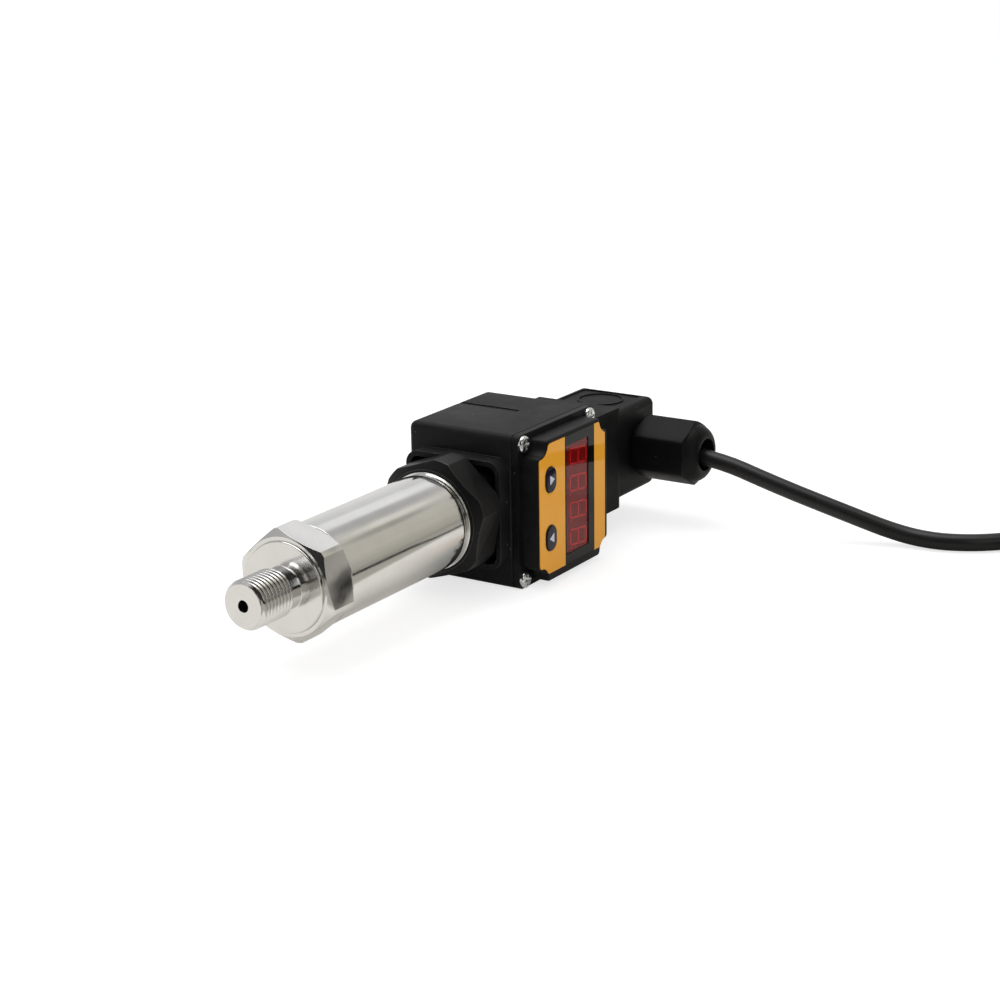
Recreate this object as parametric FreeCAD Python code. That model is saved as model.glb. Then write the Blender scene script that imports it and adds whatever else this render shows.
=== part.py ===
import FreeCAD, Part
import math
import os

# Pressure transmitter with a plug-on display and an angled cable plug.
# Millimetres. +X runs along the body from the pressure port to the cable plug, the display
# faces -Y, and +Z is up as the instrument lies. The origin is on the axis, where the process thread
# has its full diameter behind the lead chamfer.

V = FreeCAD.Vector
X_DIR, Y_DIR, Z_DIR = V(1, 0, 0), V(0, 1, 0), V(0, 0, 1)

# ---------------------------------------------------------------- fits
slide_gap = 0.05            # radial clearance of a shaft or spigot in its bore
assembly_gap = 0.1          # clearance round a piece that drops into a pocket
seat_gap = 0.1              # axial clearance between stacked pieces
seal_slack = 0.02           # clearance of a sealing ring in its groove
past = 1.0                  # how far a cutting tool or a fused root runs past a face
wall_share = 0.9            # the most of a wall's thickness that a rounding may take

# ---------------------------------------------------------------- process connection
thread_diameter = 13.157    # G 1/4 pipe thread
thread_length = 11.1        # full thread behind the chamfer
thread_chamfer = 0.9
port_bore = 3.4
relief_diameter = 11.2
stub_length = 16.4          # end face to sealing collar
collar_diameter = 24.4
collar_height = 0.6
collar_rounding = 0.3
hex_flats = 27.0
hex_corner_diameter = 30.3
hex_length = 10.2
hex_turn = 18.3             # degrees from +Y to a corner
hex_chamfer_circle = 26.4
hex_chamfer_angle = 30.0
spigot_lip = 1.0            # weld spigot behind the cell's retaining ring
cell_pocket_diameter = 19.6
cell_pocket_depth = 5.8     # pocket floor ahead of the hexagon's rear face

# ---------------------------------------------------------------- sensor cell
cell_thickness = 6.5
cell_seat = 0.6             # pressure chamber in front of the diaphragm
cell_groove_offset = 1.6
cell_groove_width = 1.8
cell_groove_depth = 1.25
retainer_thickness = 2.6
retainer_bore = 13.0
retainer_slot = 1.6
cell_pin_radius = 0.3
cell_pin_pitch = 2.54
cell_pin_count = 4
cell_pin_reach = 6.0        # length of pin that lies over the board

# ---------------------------------------------------------------- body tube
tube_diameter = 27.4
tube_wall = 1.4
tube_length = 52.8
tube_lip_rounding = 1.2
end_ring_step = 0.65        # ring proud of the tube
end_ring_thickness = 1.3
end_ring_rounding = 0.4

# ---------------------------------------------------------------- amplifier board
carrier_thickness = 3.0
carrier_bore = 14.0
carrier_post_length = 6.0
carrier_post_width = 3.0
board_thickness = 1.6
board_width = 18.0
board_length = 36.0
amplifier_chip_side = 6.0
chip_height = 1.6
trimmer_side = 4.4
part_spacing = 3.0          # free board between neighbouring parts
board_capacitor_diameter = 5.0
board_capacitor_height = 5.5
link_pin_count = 3
link_pin_pitch = 3.96
link_pin_radius = 0.35
link_bar_height = 2.4
link_bar_depth = 3.0

# ---------------------------------------------------------------- connector base
base_spigot_length = 8.0
base_spigot_wall = 2.15
base_web = 2.0              # floor between the spigot's bore and the hexagon
base_groove_offset = 2.0
base_groove_width = 2.2
base_groove_depth = 1.2
base_flats = 32.0
base_corner_diameter = 34.6
base_length = 10.5
base_turn = 41.5            # degrees from +Y to a corner
base_chamfer_circle = 29.2
base_chamfer_angle = 31.0
plug_face_side = 23.0       # square male face of the connector
plug_face_depth = 5.0
plug_face_rounding = 3.0
blade_width = 6.3
blade_thickness = 0.8
blade_offset = 9.0          # blade centre from the body axis
blade_reach = 8.0           # blade beyond the male face
blade_tail = 3.0
nut_insert_diameter = 5.6
nut_insert_length = 7.0
gasket_thickness = 1.8
gasket_rim = 0.6            # gasket set back from the male face's edge

# ---------------------------------------------------------------- display module
module_length = 40.5
module_depth = 36.5         # without the lid's raised front
module_width = 44.5
module_rear_rounding = 2.2
module_edge_rounding = 1.8
module_wall = 2.0
skirt_side = 31.2
skirt_wall = 1.5
skirt_depth = 5.3
skirt_rounding = 4.0
grip_groove_width = 2.0
grip_groove_depth = 0.45
grip_groove_length = 21.5
grip_groove_offset = 4.2    # groove centre beyond the middle of the module
neck_side = 28.4
neck_height = 3.0
neck_rounding = 3.5
sleeve_diameter = 6.4
screw_boss_side = 5.0
screw_boss_floor = 2.0      # plastic below the lid screw's tip
lid_thickness = 2.0
front_rise = 6.0            # raised front above the lid's rim
front_margin_x = 1.6        # lid's rim beside the raised front
front_margin_z = 1.75
front_wall = 1.8
front_edge_rounding = 0.7
lid_screw_inset_x = 2.5
lid_screw_inset_z = 2.65
lid_screw_head = 4.8
lid_screw_head_height = 1.3
lid_screw_head_rounding = 0.7
lid_screw_diameter = 2.2
lid_screw_length = 9.0
lid_notch_radius = 3.3
notch_end_rounding = 1.2     # where a screw's notch meets the raised front's sides
lid_seal_thickness = 0.4
lid_seal_width = 1.3
lid_seal_inset = 0.35
label_margin_x = 0.75       # half of the free front beside the label, along X
label_margin_z = 1.7
label_thickness = 0.25
label_notch_margin = 0.45   # bare lid between a screw's notch and the label
label_notch_rounding = 1.0   # where a notch meets the label's sides
label_shift_x = -0.75       # label centre from the module's middle, along X
label_shift_z = 0.7
window_length = 12.2
window_width = 31.8
window_thickness = 1.4
window_shift_x = 1.7
key_length = 7.4
key_width = 5.2
key_height = 0.55           # key proud of the front
key_gap = 0.15
key_shift_x = -13.05        # key centre from the module's middle
key_pitch = 16.9
key_middle_z = 0.65
key_edge_rounding = 0.3
key_stem_length = 1.2       # key behind its flange
key_flange = 0.7
key_flange_thickness = 0.8
switch_side = 6.0
switch_height = 3.5
switch_stem_diameter = 3.4
switch_play = 0.45
digit_length = 14.0
digit_width = 33.0
display_board_margin_x = 4.25   # board's edge from the module's outside
display_board_margin_z = 5.25
display_standoff = 1.0
standoff_diameter = 3.4
standoff_inset = 2.5        # standoff's middle from the control board's edges
control_board_margin = 4.25
control_standoff = 3.6
header_pin_count = 5
header_pin_side = 0.64
header_pin_pitch = 2.54
header_bar_height = 2.5
header_shift_x = -8.0       # header's middle from the module's middle
header_edge = 7.75          # header's middle from the module's +Z flank
processor_side = 8.0
processor_z = -12.0
choke_side = 7.0
choke_height = 4.5
choke_shift_x = 8.5
choke_z = 10.5
control_capacitor_diameter = 6.0
control_capacitor_height = 6.5
control_capacitor_shift_x = 9.5
contact_width = 7.4
contact_depth = 3.4
contact_length = 6.5
contact_end_wall = 1.2
contact_slot_gap = 0.12

# ---------------------------------------------------------------- cable plug
plug_length = 43.8          # from the skirt's edge to the end
plug_base_length = 21.7
plug_width = 27.6
plug_depth = 26.2
plug_base_width = 31.2
plug_base_front = 0.8       # the plug's base stands out in front of the upper block
plug_wall = 2.0
plug_lip_gap = 0.5          # skirt edge to the module's neck
plug_rounding = 2.3
plug_edge_rounding = 2.2
plug_face_gap = 0.7         # skirt round the male face
plug_field_depth = 0.35
plug_field_border = 2.6
plug_field_front_border = 3.6
plug_field_rounding = 1.5
plug_emblem_diameter = 14.2
plug_emblem_wall = 0.5
pad_diameter = 19.0         # round pad low on the plug's front
pad_height = 0.5
terminal_block_length = 14.0
terminal_rounding = 1.0
terminal_floor = 1.5        # plastic in front of the sockets
chamber_inset = 1.0         # ledge round the wiring chamber that stops the terminal block
terminal_screw_diameter = 3.0
terminal_screw_length = 5.0
centre_screw_diameter = 3.0
centre_screw_play = 0.25    # radial play in the passage for the long screw
centre_screw_tip_gap = 1.0  # insert's floor to the screw's tip
centre_screw_head = 6.0
centre_screw_head_height = 2.2
centre_screw_slot_width = 0.8
centre_screw_slot_depth = 1.0
centre_screw_recess = 3.4
centre_washer_thickness = 1.0

# ---------------------------------------------------------------- cable gland
gland_from_end = 8.0        # gland axis from the plug's end
boss_diameter = 15.7
boss_height = 0.9
gland_thread_diameter = 13.8
gland_thread_length = 11.1
gland_bore = 9.8
grommet_diameter = 11.4
grommet_seat = 5.0          # grommet pocket depth
grommet_length = 7.0
washer_thickness = 1.0
washer_play = 0.6           # washer's bore round the cable
nut_flats = 18.0
nut_corner_diameter = 20.6
nut_length = 17.4
nut_turn = 29.0
nut_chamfer = 0.2           # radial size of the chamfers on the nut's ends
nut_chamfer_angle = 30.0
nut_dome = 3.2
nut_dome_fullness = 0.72    # where the dome's arc stands at its middle, as a share of its height
nut_mouth = 9.84
nut_lip = 0.6               # flat lip round the mouth
nut_floor_gap = 0.4         # nut's rear edge to the boss

# ---------------------------------------------------------------- signal cable
cable_diameter = 5.1
cable_grip = 16.6           # cable's inner end from the body axis
coil_radius = 28.0
coil_turns_across = 3
coil_layers = 2
core_diameter = 1.5
core_side = 0.9             # core's middle from the cable's middle where the sheath ends
core_bend_depth = 7.0       # where the cores bend towards the terminals, from the body axis

# ================================================================ derived places
end_face = -thread_chamfer
collar_face = end_face + stub_length
hex_front = collar_face + collar_height
hex_rear = hex_front + hex_length
cell_front = hex_rear - cell_pocket_depth + cell_seat
cell_rear = cell_front + cell_thickness
retainer_front = cell_rear + seat_gap
retainer_rear = retainer_front + retainer_thickness
spigot_rear = retainer_rear + spigot_lip
tube_radius = tube_diameter / 2
tube_bore_radius = tube_radius - tube_wall
spigot_radius = tube_bore_radius - slide_gap
tube_end = hex_rear + tube_length
carrier_front = spigot_rear + seat_gap
carrier_rear = carrier_front + carrier_thickness
board_start = carrier_rear + seat_gap
board_top = board_thickness / 2
cell_pin_end = board_start + cell_pin_reach
cell_pin_y = board_top + cell_pin_radius + slide_gap
link_middle = board_top + link_bar_height / 2
base_front = tube_end + end_ring_thickness + 2 * seat_gap
base_rear = base_front + base_length
face_end = base_rear + plug_face_depth
base_spigot_front = base_front - base_spigot_length
link_pin_end = base_front - seat_gap
blade_start = base_front - base_web - blade_tail
centre_screw_clear = centre_screw_diameter / 2 + centre_screw_play
module_start = face_end + gasket_thickness
module_end = module_start + module_length
module_middle = (module_start + module_end) / 2
module_rear = module_depth / 2
lid_face = -module_depth / 2
lid_inner = lid_face + lid_thickness
housing_front = lid_inner + lid_seal_thickness
front_face = lid_face - front_rise
front_inner = front_face + front_wall
label_face = front_face + label_thickness
front_length = module_length - 2 * front_margin_x
front_width = module_width - 2 * front_margin_z
label_length = front_length - 2 * label_margin_x
label_width = front_width - 2 * label_margin_z
display_board_length = module_length - 2 * display_board_margin_x
display_board_width = module_width - 2 * display_board_margin_z
control_board_length = module_length - 2 * control_board_margin
control_board_width = module_width - 2 * control_board_margin
lid_screw_tip = lid_face + lid_screw_length
key_flange_front = front_inner + slide_gap
key_foot = key_flange_front + key_flange_thickness + key_stem_length
neck_end = module_end + neck_height
neck_face_end = neck_end + plug_face_depth
plug_floor = neck_face_end + gasket_thickness
plug_start = neck_end + plug_lip_gap
plug_end = plug_start + plug_length
plug_shoulder = plug_start + plug_base_length
gland_x = plug_end - gland_from_end
contact_start = plug_floor + terminal_floor + seat_gap
boss_face = plug_depth / 2 + boss_height
gland_tip = boss_face + gland_thread_length
grommet_start = gland_tip - grommet_seat
washer_start = grommet_start + grommet_length + seat_gap
nut_start = boss_face + nut_floor_gap
nut_floor = washer_start + washer_thickness + seat_gap
display_board_front = lid_inner + display_standoff
control_board_front = module_rear - module_wall - control_standoff - board_thickness
header_middle_z = module_width / 2 - header_edge
key_x = module_middle + key_shift_x
key_places = {"up_key": key_middle_z + key_pitch / 2, "down_key": key_middle_z - key_pitch / 2}
screw_places = [(x, side * (module_width / 2 - lid_screw_inset_z))
                for x in (module_start + lid_screw_inset_x, module_end - lid_screw_inset_x)
                for side in (-1, 1)]
blade_places = [(0, blade_offset), (0, -blade_offset), (-blade_offset, 0), (blade_offset, 0)]


# ================================================================ shape helpers
def box(x0, x1, y0, y1, z0, z1):
    """A plain block between two corners."""
    return Part.makeBox(x1 - x0, y1 - y0, z1 - z0, V(x0, y0, z0))


def rod(radius, x0, x1, y=0.0, z=0.0):
    """A cylinder along X."""
    return Part.makeCylinder(radius, x1 - x0, V(x0, y, z), X_DIR)


def post(radius, y0, y1, x, z):
    """A cylinder along Y."""
    return Part.makeCylinder(radius, y1 - y0, V(x, y0, z), Y_DIR)


def ring(outer, inner, x0, x1):
    """A tube along X, by its radii."""
    return rod(outer, x0, x1).cut(rod(inner, x0 - past, x1 + past))


def along(edge, direction):
    """True for a straight edge along the direction."""
    if edge.Curve.TypeId != "Part::GeomLine":
        return False
    tangent = edge.tangentAt(edge.FirstParameter)
    return abs(abs(tangent.dot(direction)) - 1) < 1e-6


def rounded(shape, radius, chosen):
    """Round the edges that the test picks."""
    return shape.makeFillet(radius, [edge for edge in shape.Edges if chosen(edge)])


def rounded_box(x0, x1, y0, y1, z0, z1, direction, radius):
    """A block with its four edges along one direction rounded."""
    return rounded(box(x0, x1, y0, y1, z0, z1), radius, lambda edge: along(edge, direction))


def square_post(side, x0, x1, radius):
    """A square post along X, centred on the axis, with rounded corners."""
    half = side / 2
    return rounded_box(x0, x1, -half, half, -half, half, X_DIR, radius)


def revolved(points):
    """A solid of revolution round X, from (x, radius) corners."""
    corners = [V(x, 0, radius) for x, radius in points]
    face = Part.Face(Part.makePolygon(corners + corners[:1]))
    return face.revolve(V(0, 0, 0), X_DIR, 360)


def hexagon(flats, x0, x1, turn):
    """A hexagonal bar along X, its first corner turned from +Y."""
    radius = flats / 2 / math.cos(math.radians(30))
    angles = [math.radians(turn + 60 * k) for k in range(6)]
    corners = [V(x0, radius * math.cos(a), radius * math.sin(a)) for a in angles]
    face = Part.Face(Part.makePolygon(corners + corners[:1]))
    return face.extrude(V(x1 - x0, 0, 0))


def turned_hexagon(flats, corner_diameter, x0, x1, turn, circle, angle, both_ends):
    """A hexagon with turned corners and lathe chamfers that start on a circle."""
    outer, start = corner_diameter / 2, circle / 2
    run = (outer - start) * math.tan(math.radians(angle))
    blank = [(x0, 0), (x0, start), (x0 + run, outer), (x1, outer), (x1, 0)]
    if both_ends:
        blank = [(x0, 0), (x0, start), (x0 + run, outer), (x1 - run, outer), (x1, start), (x1, 0)]
    return hexagon(flats, x0, x1, turn).common(revolved(blank))


def joined(first, *others):
    """Fuse touching solids into one clean solid."""
    return first.multiFuse(list(others)).removeSplitter()


def group(shapes):
    """Separate solids of one node."""
    return Part.makeCompound(shapes)


def row(count, pitch, middle=0.0):
    """Places of a row, centred on its middle."""
    return [middle + (k - (count - 1) / 2) * pitch for k in range(count)]


def blade(y, z, x0, x1, grow=0.0):
    """A flat contact blade along X, wide side across the line to the axis."""
    half_wide, half_thin = blade_width / 2 + grow, blade_thickness / 2 + grow
    if abs(z) > abs(y):
        return box(x0, x1, y - half_wide, y + half_wide, z - half_thin, z + half_thin)
    return box(x0, x1, y - half_thin, y + half_thin, z - half_wide, z + half_wide)


def groove_ring(bore_radius, groove_depth, x):
    """A sealing ring that fills a groove in a plug under its bore."""
    section = (groove_depth + slide_gap) / 2 - seal_slack
    return Part.makeTorus(bore_radius - seal_slack - section, section, V(x, 0, 0), X_DIR)


def stadium(length, width, y0, y1, x, z):
    """A slot-shaped bar along Y with its long side along Z."""
    half, reach = width / 2, (length - width) / 2
    bar = box(x - half, x + half, y0, y1, z - reach, z + reach)
    return joined(bar, post(half, y0, y1, x, z - reach), post(half, y0, y1, x, z + reach))


# ================================================================ process connection and body
def pressure_port():
    """Threaded stub, relief, sealing collar, hexagon and weld spigot, with the cell's pocket."""
    thread, relief, collar = thread_diameter / 2, relief_diameter / 2, collar_diameter / 2
    stub = revolved([
        (end_face, 0), (end_face, thread - thread_chamfer), (0, thread), (thread_length, thread),
        (thread_length + (thread - relief), relief), (collar_face, relief),
        (collar_face, collar - collar_rounding), (collar_face + collar_rounding, collar),
        (hex_front + past, collar), (hex_front + past, 0)])
    nut = turned_hexagon(hex_flats, hex_corner_diameter, hex_front, hex_rear, hex_turn,
                         hex_chamfer_circle, hex_chamfer_angle, True)
    body = joined(stub, nut, rod(spigot_radius, hex_rear - past, spigot_rear))
    pocket = rod(cell_pocket_diameter / 2, cell_front - cell_seat, spigot_rear + past)
    return body.cut(pocket).cut(rod(port_bore / 2, end_face - past, cell_front))


def sensor_cell():
    """Oil-filled measuring cell with its groove and its row of glass-sealed pins."""
    radius = cell_pocket_diameter / 2 - slide_gap
    groove = cell_front + cell_groove_offset
    cell = rod(radius, cell_front, cell_rear)
    cell = cell.cut(ring(radius + past, radius - cell_groove_depth, groove, groove + cell_groove_width))
    pins = [rod(cell_pin_radius, cell_rear - past, cell_pin_end, cell_pin_y, z)
            for z in row(cell_pin_count, cell_pin_pitch)]
    return joined(cell, *pins)


def cell_o_ring():
    """Sealing ring in the cell's groove."""
    middle = cell_front + cell_groove_offset + cell_groove_width / 2
    return groove_ring(cell_pocket_diameter / 2, cell_groove_depth, middle)


def cell_retaining_ring():
    """Threaded ring that clamps the cell, with two spanner slots."""
    outer = cell_pocket_diameter / 2 - slide_gap
    half = retainer_slot / 2
    slot = box(retainer_rear - retainer_slot, retainer_rear + past, -outer - past, outer + past, -half, half)
    return ring(outer, retainer_bore / 2, retainer_front, retainer_rear).cut(slot)


def body_tube():
    """Welded tube with a rounded rear lip."""
    tube = ring(tube_radius, tube_bore_radius, hex_rear, tube_end)
    lip = [edge for edge in tube.Edges if edge.Curve.TypeId == "Part::GeomCircle"
           and abs(edge.Curve.Radius - tube_radius) < 1e-6 and abs(edge.Curve.Center.x - tube_end) < 1e-6]
    return tube.makeFillet(min(tube_lip_rounding, tube_wall * wall_share), lip)


def tube_end_ring():
    """Polished ring between the tube's lip and the connector base."""
    front = tube_end + seat_gap
    rim = tube_radius + end_ring_step
    disc = ring(rim, tube_bore_radius, front, front + end_ring_thickness)
    return rounded(disc, end_ring_rounding, lambda edge: edge.Curve.TypeId == "Part::GeomCircle"
                   and abs(edge.Curve.Radius - rim) < 1e-6)


def board_carrier():
    """Plastic disc on the weld spigot with two slotted posts for the board."""
    carrier = ring(spigot_radius, carrier_bore / 2, carrier_front, carrier_rear)
    edge, half_post, end = board_width / 2, carrier_post_width / 2, carrier_rear + carrier_post_length
    posts = [box(carrier_rear - past, end, -carrier_post_width, carrier_post_width,
                 side * edge - half_post, side * edge + half_post) for side in (-1, 1)]
    half = board_top + slide_gap
    slot = box(carrier_rear, end + past, -half, half, -edge - slide_gap, edge + slide_gap)
    return joined(carrier, *posts).cut(slot)


def amplifier_board():
    """Amplifier circuit board along the body axis."""
    return box(board_start, board_start + board_length, -board_top, board_top,
               -board_width / 2, board_width / 2)


def amplifier_parts():
    """Integrated circuits, trimmers and a capacitor on the amplifier board."""
    top, start, half = board_top, cell_pin_end + part_spacing, amplifier_chip_side / 2
    trimmer_start = start + amplifier_chip_side + part_spacing
    capacitor_x = trimmer_start + board_capacitor_diameter
    parts = [box(start, start + 2 * half, top, top + chip_height, -half, half),
             box(start, start + 2 * half, -top - chip_height, -top, -half, half),
             post(board_capacitor_diameter / 2, -top - board_capacitor_height, -top, capacitor_x, 0)]
    for side in (-1, 1):
        low, high = sorted((side * part_spacing / 2, side * (part_spacing / 2 + trimmer_side)))
        parts.append(box(trimmer_start, trimmer_start + trimmer_side, top, top + trimmer_side, low, high))
    return group(parts)


def link_header():
    """Pin header from the amplifier board's rear edge into the connector base."""
    rear, half = board_start + board_length, link_pin_count * link_pin_pitch / 2
    bar = box(rear - link_bar_depth, rear, board_top, board_top + link_bar_height, -half, half)
    pins = [rod(link_pin_radius, rear - past, link_pin_end, link_middle, z)
            for z in row(link_pin_count, link_pin_pitch)]
    return joined(bar, *pins)


# ================================================================ connector base
def connector_base():
    """Moulded base: spigot in the tube, hexagon with turned corners and the square male face."""
    spigot, spigot_front = spigot_radius, base_spigot_front
    groove = spigot_front + base_groove_offset
    flange = turned_hexagon(base_flats, base_corner_diameter, base_front, base_rear, base_turn,
                            base_chamfer_circle, base_chamfer_angle, False)
    body = joined(flange, rod(spigot, spigot_front, base_front + past),
                  square_post(plug_face_side, base_rear - past, face_end, plug_face_rounding))
    body = body.cut(ring(spigot + past, spigot - base_groove_depth, groove, groove + base_groove_width))
    body = body.cut(rod(spigot - base_spigot_wall, spigot_front - past, base_front - base_web))
    body = body.cut(rod(nut_insert_diameter / 2 + slide_gap, face_end - nut_insert_length, face_end + past))
    for z in row(link_pin_count, link_pin_pitch):
        body = body.cut(rod(link_pin_radius + slide_gap, spigot_front, link_pin_end + past, link_middle, z))
    for y, z in blade_places:
        body = body.cut(blade(y, z, blade_start, face_end + past))
    return body


def base_o_ring():
    """Sealing ring between the base's spigot and the tube."""
    middle = base_spigot_front + base_groove_offset + base_groove_width / 2
    return groove_ring(tube_bore_radius, base_groove_depth, middle)


def base_blades():
    """Three contact blades and the earth blade, moulded into the base."""
    return group([blade(y, z, blade_start, face_end + blade_reach) for y, z in blade_places])


def base_nut():
    """Brass threaded insert for the long screw."""
    outer = nut_insert_diameter / 2
    return ring(outer, centre_screw_diameter / 2 + slide_gap, face_end - nut_insert_length, face_end)


def gasket(x0):
    """Flat profile gasket with passages for the blades and the screw."""
    x1 = x0 + gasket_thickness
    pad = square_post(plug_face_side - 2 * gasket_rim, x0, x1, plug_face_rounding - gasket_rim)
    pad = pad.cut(rod(centre_screw_clear, x0 - past, x1 + past))
    for y, z in blade_places:
        pad = pad.cut(blade(y, z, x0 - past, x1 + past, assembly_gap))
    return pad


# ================================================================ display module
def display_housing():
    """Moulded box open at the front, with the socket skirt and the male neck."""
    half = module_width / 2
    shell = box(module_start, module_end, housing_front, module_rear, -half, half)
    shell = rounded(shell, module_rear_rounding,
                    lambda edge: along(edge, X_DIR) and edge.CenterOfMass.y > module_rear - 1e-6)
    shell = rounded(shell, module_edge_rounding, lambda edge: along(edge, Y_DIR))
    wall = module_wall
    cavity = box(module_start + wall, module_end - wall, housing_front - past, module_rear - wall,
                 -half + wall, half - wall)
    bosses = [boss(x, z).common(shell) for x, z in screw_places]
    sleeve = rod(sleeve_diameter / 2, module_start, module_end)
    standoffs = [post(standoff_diameter / 2, control_board_front + board_thickness, module_rear - past, x, z)
                 for x, z in corners(control_board_length - 2 * standoff_inset,
                                     control_board_width - 2 * standoff_inset)]
    neck = square_post(neck_side, module_end - past, neck_end, neck_rounding)
    face = square_post(plug_face_side, neck_end - past, neck_face_end, plug_face_rounding)
    body = joined(shell.cut(cavity), sleeve, skirt(), neck, face, *bosses, *standoffs)
    for side in (-1, 1):
        body = body.cut(grip_groove(side))
    for x, z in screw_places:
        hole_radius, hole_end = lid_screw_diameter / 2 + slide_gap, lid_screw_tip + screw_boss_floor / 2
        body = body.cut(post(hole_radius, housing_front - past, hole_end, x, z))
    body = body.cut(rod(centre_screw_clear, module_start - past, neck_face_end + past))
    for y, z in blade_places:
        body = body.cut(blade(y, z, module_start - past, module_start + wall + past, assembly_gap))
        body = body.cut(blade(y, z, module_end - wall - past, neck_face_end + past))
    return body


def corners(length, width):
    """Four corner places of a pattern centred on the module."""
    return [(module_middle + a * length / 2, b * width / 2) for a in (-1, 1) for b in (-1, 1)]


def boss(x, z):
    """A square screw boss in a corner of the housing."""
    side = screw_boss_side
    x0, x1 = (module_start, module_start + side) if x < module_middle else (module_end - side, module_end)
    half = module_width / 2
    z0, z1 = (-half, -half + side) if z < 0 else (half - side, half)
    return box(x0, x1, housing_front, lid_screw_tip + screw_boss_floor, z0, z1)


def skirt():
    """Socket skirt round the base's male face, open to the port's side."""
    outer = square_post(skirt_side, module_start - skirt_depth, module_start + past, skirt_rounding)
    inner = square_post(skirt_side - 2 * skirt_wall, module_start - skirt_depth - past, module_start,
                        skirt_rounding - skirt_wall)
    return outer.cut(inner)


def grip_groove(side):
    """Shallow groove across a flank, open at the rear."""
    x = module_middle + grip_groove_offset
    half = grip_groove_width / 2
    flank = module_width / 2
    low, high = sorted((side * (flank - grip_groove_depth), side * (flank + past)))
    return box(x - half, x + half, module_rear - grip_groove_length, module_rear + past, low, high)


def front_block(grow, y0, y1, notch):
    """The lid's raised front, with a concave notch round each screw."""
    half_x, half_z = front_length / 2 + grow, front_width / 2 + grow
    block = box(module_middle - half_x, module_middle + half_x, y0, y1, -half_z, half_z)
    for x, z in screw_places:
        block = block.cut(post(notch, y0 - past, y1 + past, x, z))
    return block


def display_lid():
    """Screwed lid: rim, raised hollow front, window opening, key holes and label recess."""
    half = module_width / 2
    rim = rounded_box(module_start, module_end, lid_face, lid_inner, -half, half, Y_DIR, module_edge_rounding)
    raised = front_block(0, front_face, lid_face, lid_notch_radius)
    raised = rounded(raised, notch_end_rounding, lambda edge: along(edge, Y_DIR))
    raised = rounded(raised, front_edge_rounding,
                     lambda edge: edge.CenterOfMass.y < front_face + 1e-6)
    hollow = front_block(-front_wall, front_inner, lid_inner + past, lid_notch_radius + front_wall)
    standoffs = [post(standoff_diameter / 2, lid_inner, display_board_front, x, z)
                 for x, z in lid_standoff_places()]
    body = joined(rim, raised).cut(hollow)
    body = joined(body, *standoffs)
    body = body.cut(label_outline(assembly_gap, front_face - past, label_face))
    body = body.cut(window_block(assembly_gap, front_face - past, front_inner + past))
    body = body.cut(key_holes(front_face - past, front_inner + past))
    for x, z in screw_places:
        body = body.cut(post(lid_screw_diameter / 2 + slide_gap, lid_face - past, lid_inner + past, x, z))
    return body


def key_holes(y0, y1):
    """The cutters of the two keys' holes."""
    return group([stadium(key_length + 2 * key_gap, key_width + 2 * key_gap, y0, y1, key_x, z)
                  for z in key_places.values()])


def lid_standoff_places():
    """Board posts on the lid's rim, between the screw bosses."""
    reach = display_board_width / 2 - standoff_diameter / 2
    edge = display_board_length / 2 - standoff_diameter / 2
    return [(module_middle + a * edge, b * reach) for a in (-1, 1) for b in (-1, 1)]


def label_outline(grow, y0, y1):
    """The label's plate, notched at its corners with the raised front."""
    x, z = module_middle + label_shift_x, label_shift_z
    half_x, half_z = label_length / 2 + grow, label_width / 2 + grow
    plate = box(x - half_x, x + half_x, y0, y1, z - half_z, z + half_z)
    notch = lid_notch_radius + label_notch_margin - grow
    for screw_x, screw_z in screw_places:
        plate = plate.cut(post(notch, y0 - past, y1 + past, screw_x, screw_z))
    return rounded(plate, label_notch_rounding + grow, lambda edge: along(edge, Y_DIR))


def window_block(grow, y0, y1):
    """The window's opening or plate, grown by a clearance."""
    x, z = module_middle + window_shift_x, label_shift_z
    half_x, half_z = window_length / 2 + grow, window_width / 2 + grow
    return box(x - half_x, x + half_x, y0, y1, z - half_z, z + half_z)


def front_label():
    """Printed film on the raised front, cut out for the window and the keys."""
    y0, y1 = front_face - past, label_face + past
    return label_outline(0, front_face, label_face).cut(window_block(0, y0, y1)).cut(key_holes(y0, y1))


def display_window():
    """Red filter plate in the lid's opening."""
    return window_block(0, label_face, label_face + window_thickness)


def digit_block():
    """Four-digit display block on the display board, behind the window."""
    x, z = module_middle + window_shift_x, label_shift_z
    front = front_inner + seat_gap
    return box(x - digit_length / 2, x + digit_length / 2, front, display_board_front,
               z - digit_width / 2, z + digit_width / 2)


def display_board():
    """Circuit board under the lid, carrying the digits and the key switches."""
    half_x, half_z = display_board_length / 2, display_board_width / 2
    return box(module_middle - half_x, module_middle + half_x, display_board_front,
               display_board_front + board_thickness, -half_z, half_z)


def key_switches():
    """Two push switches under the keys."""
    half = switch_side / 2
    switches = []
    for z in key_places.values():
        top = display_board_front - switch_height
        body = box(key_x - half, key_x + half, top, display_board_front, z - half, z + half)
        stem = post(switch_stem_diameter / 2, key_foot + switch_play, top + past, key_x, z)
        switches.append(joined(body, stem))
    return group(switches)


def key_cap(z):
    """A key with the flange that keeps it behind the lid."""
    face = front_face - key_height
    cap = stadium(key_length, key_width, face, key_foot, key_x, z)
    cap = rounded(cap, key_edge_rounding, lambda edge: edge.CenterOfMass.y < face + 1e-6)
    flange = stadium(key_length + 2 * key_flange, key_width + 2 * key_flange, key_flange_front,
                     key_flange_front + key_flange_thickness, key_x, z)
    return joined(cap, flange)


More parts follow.
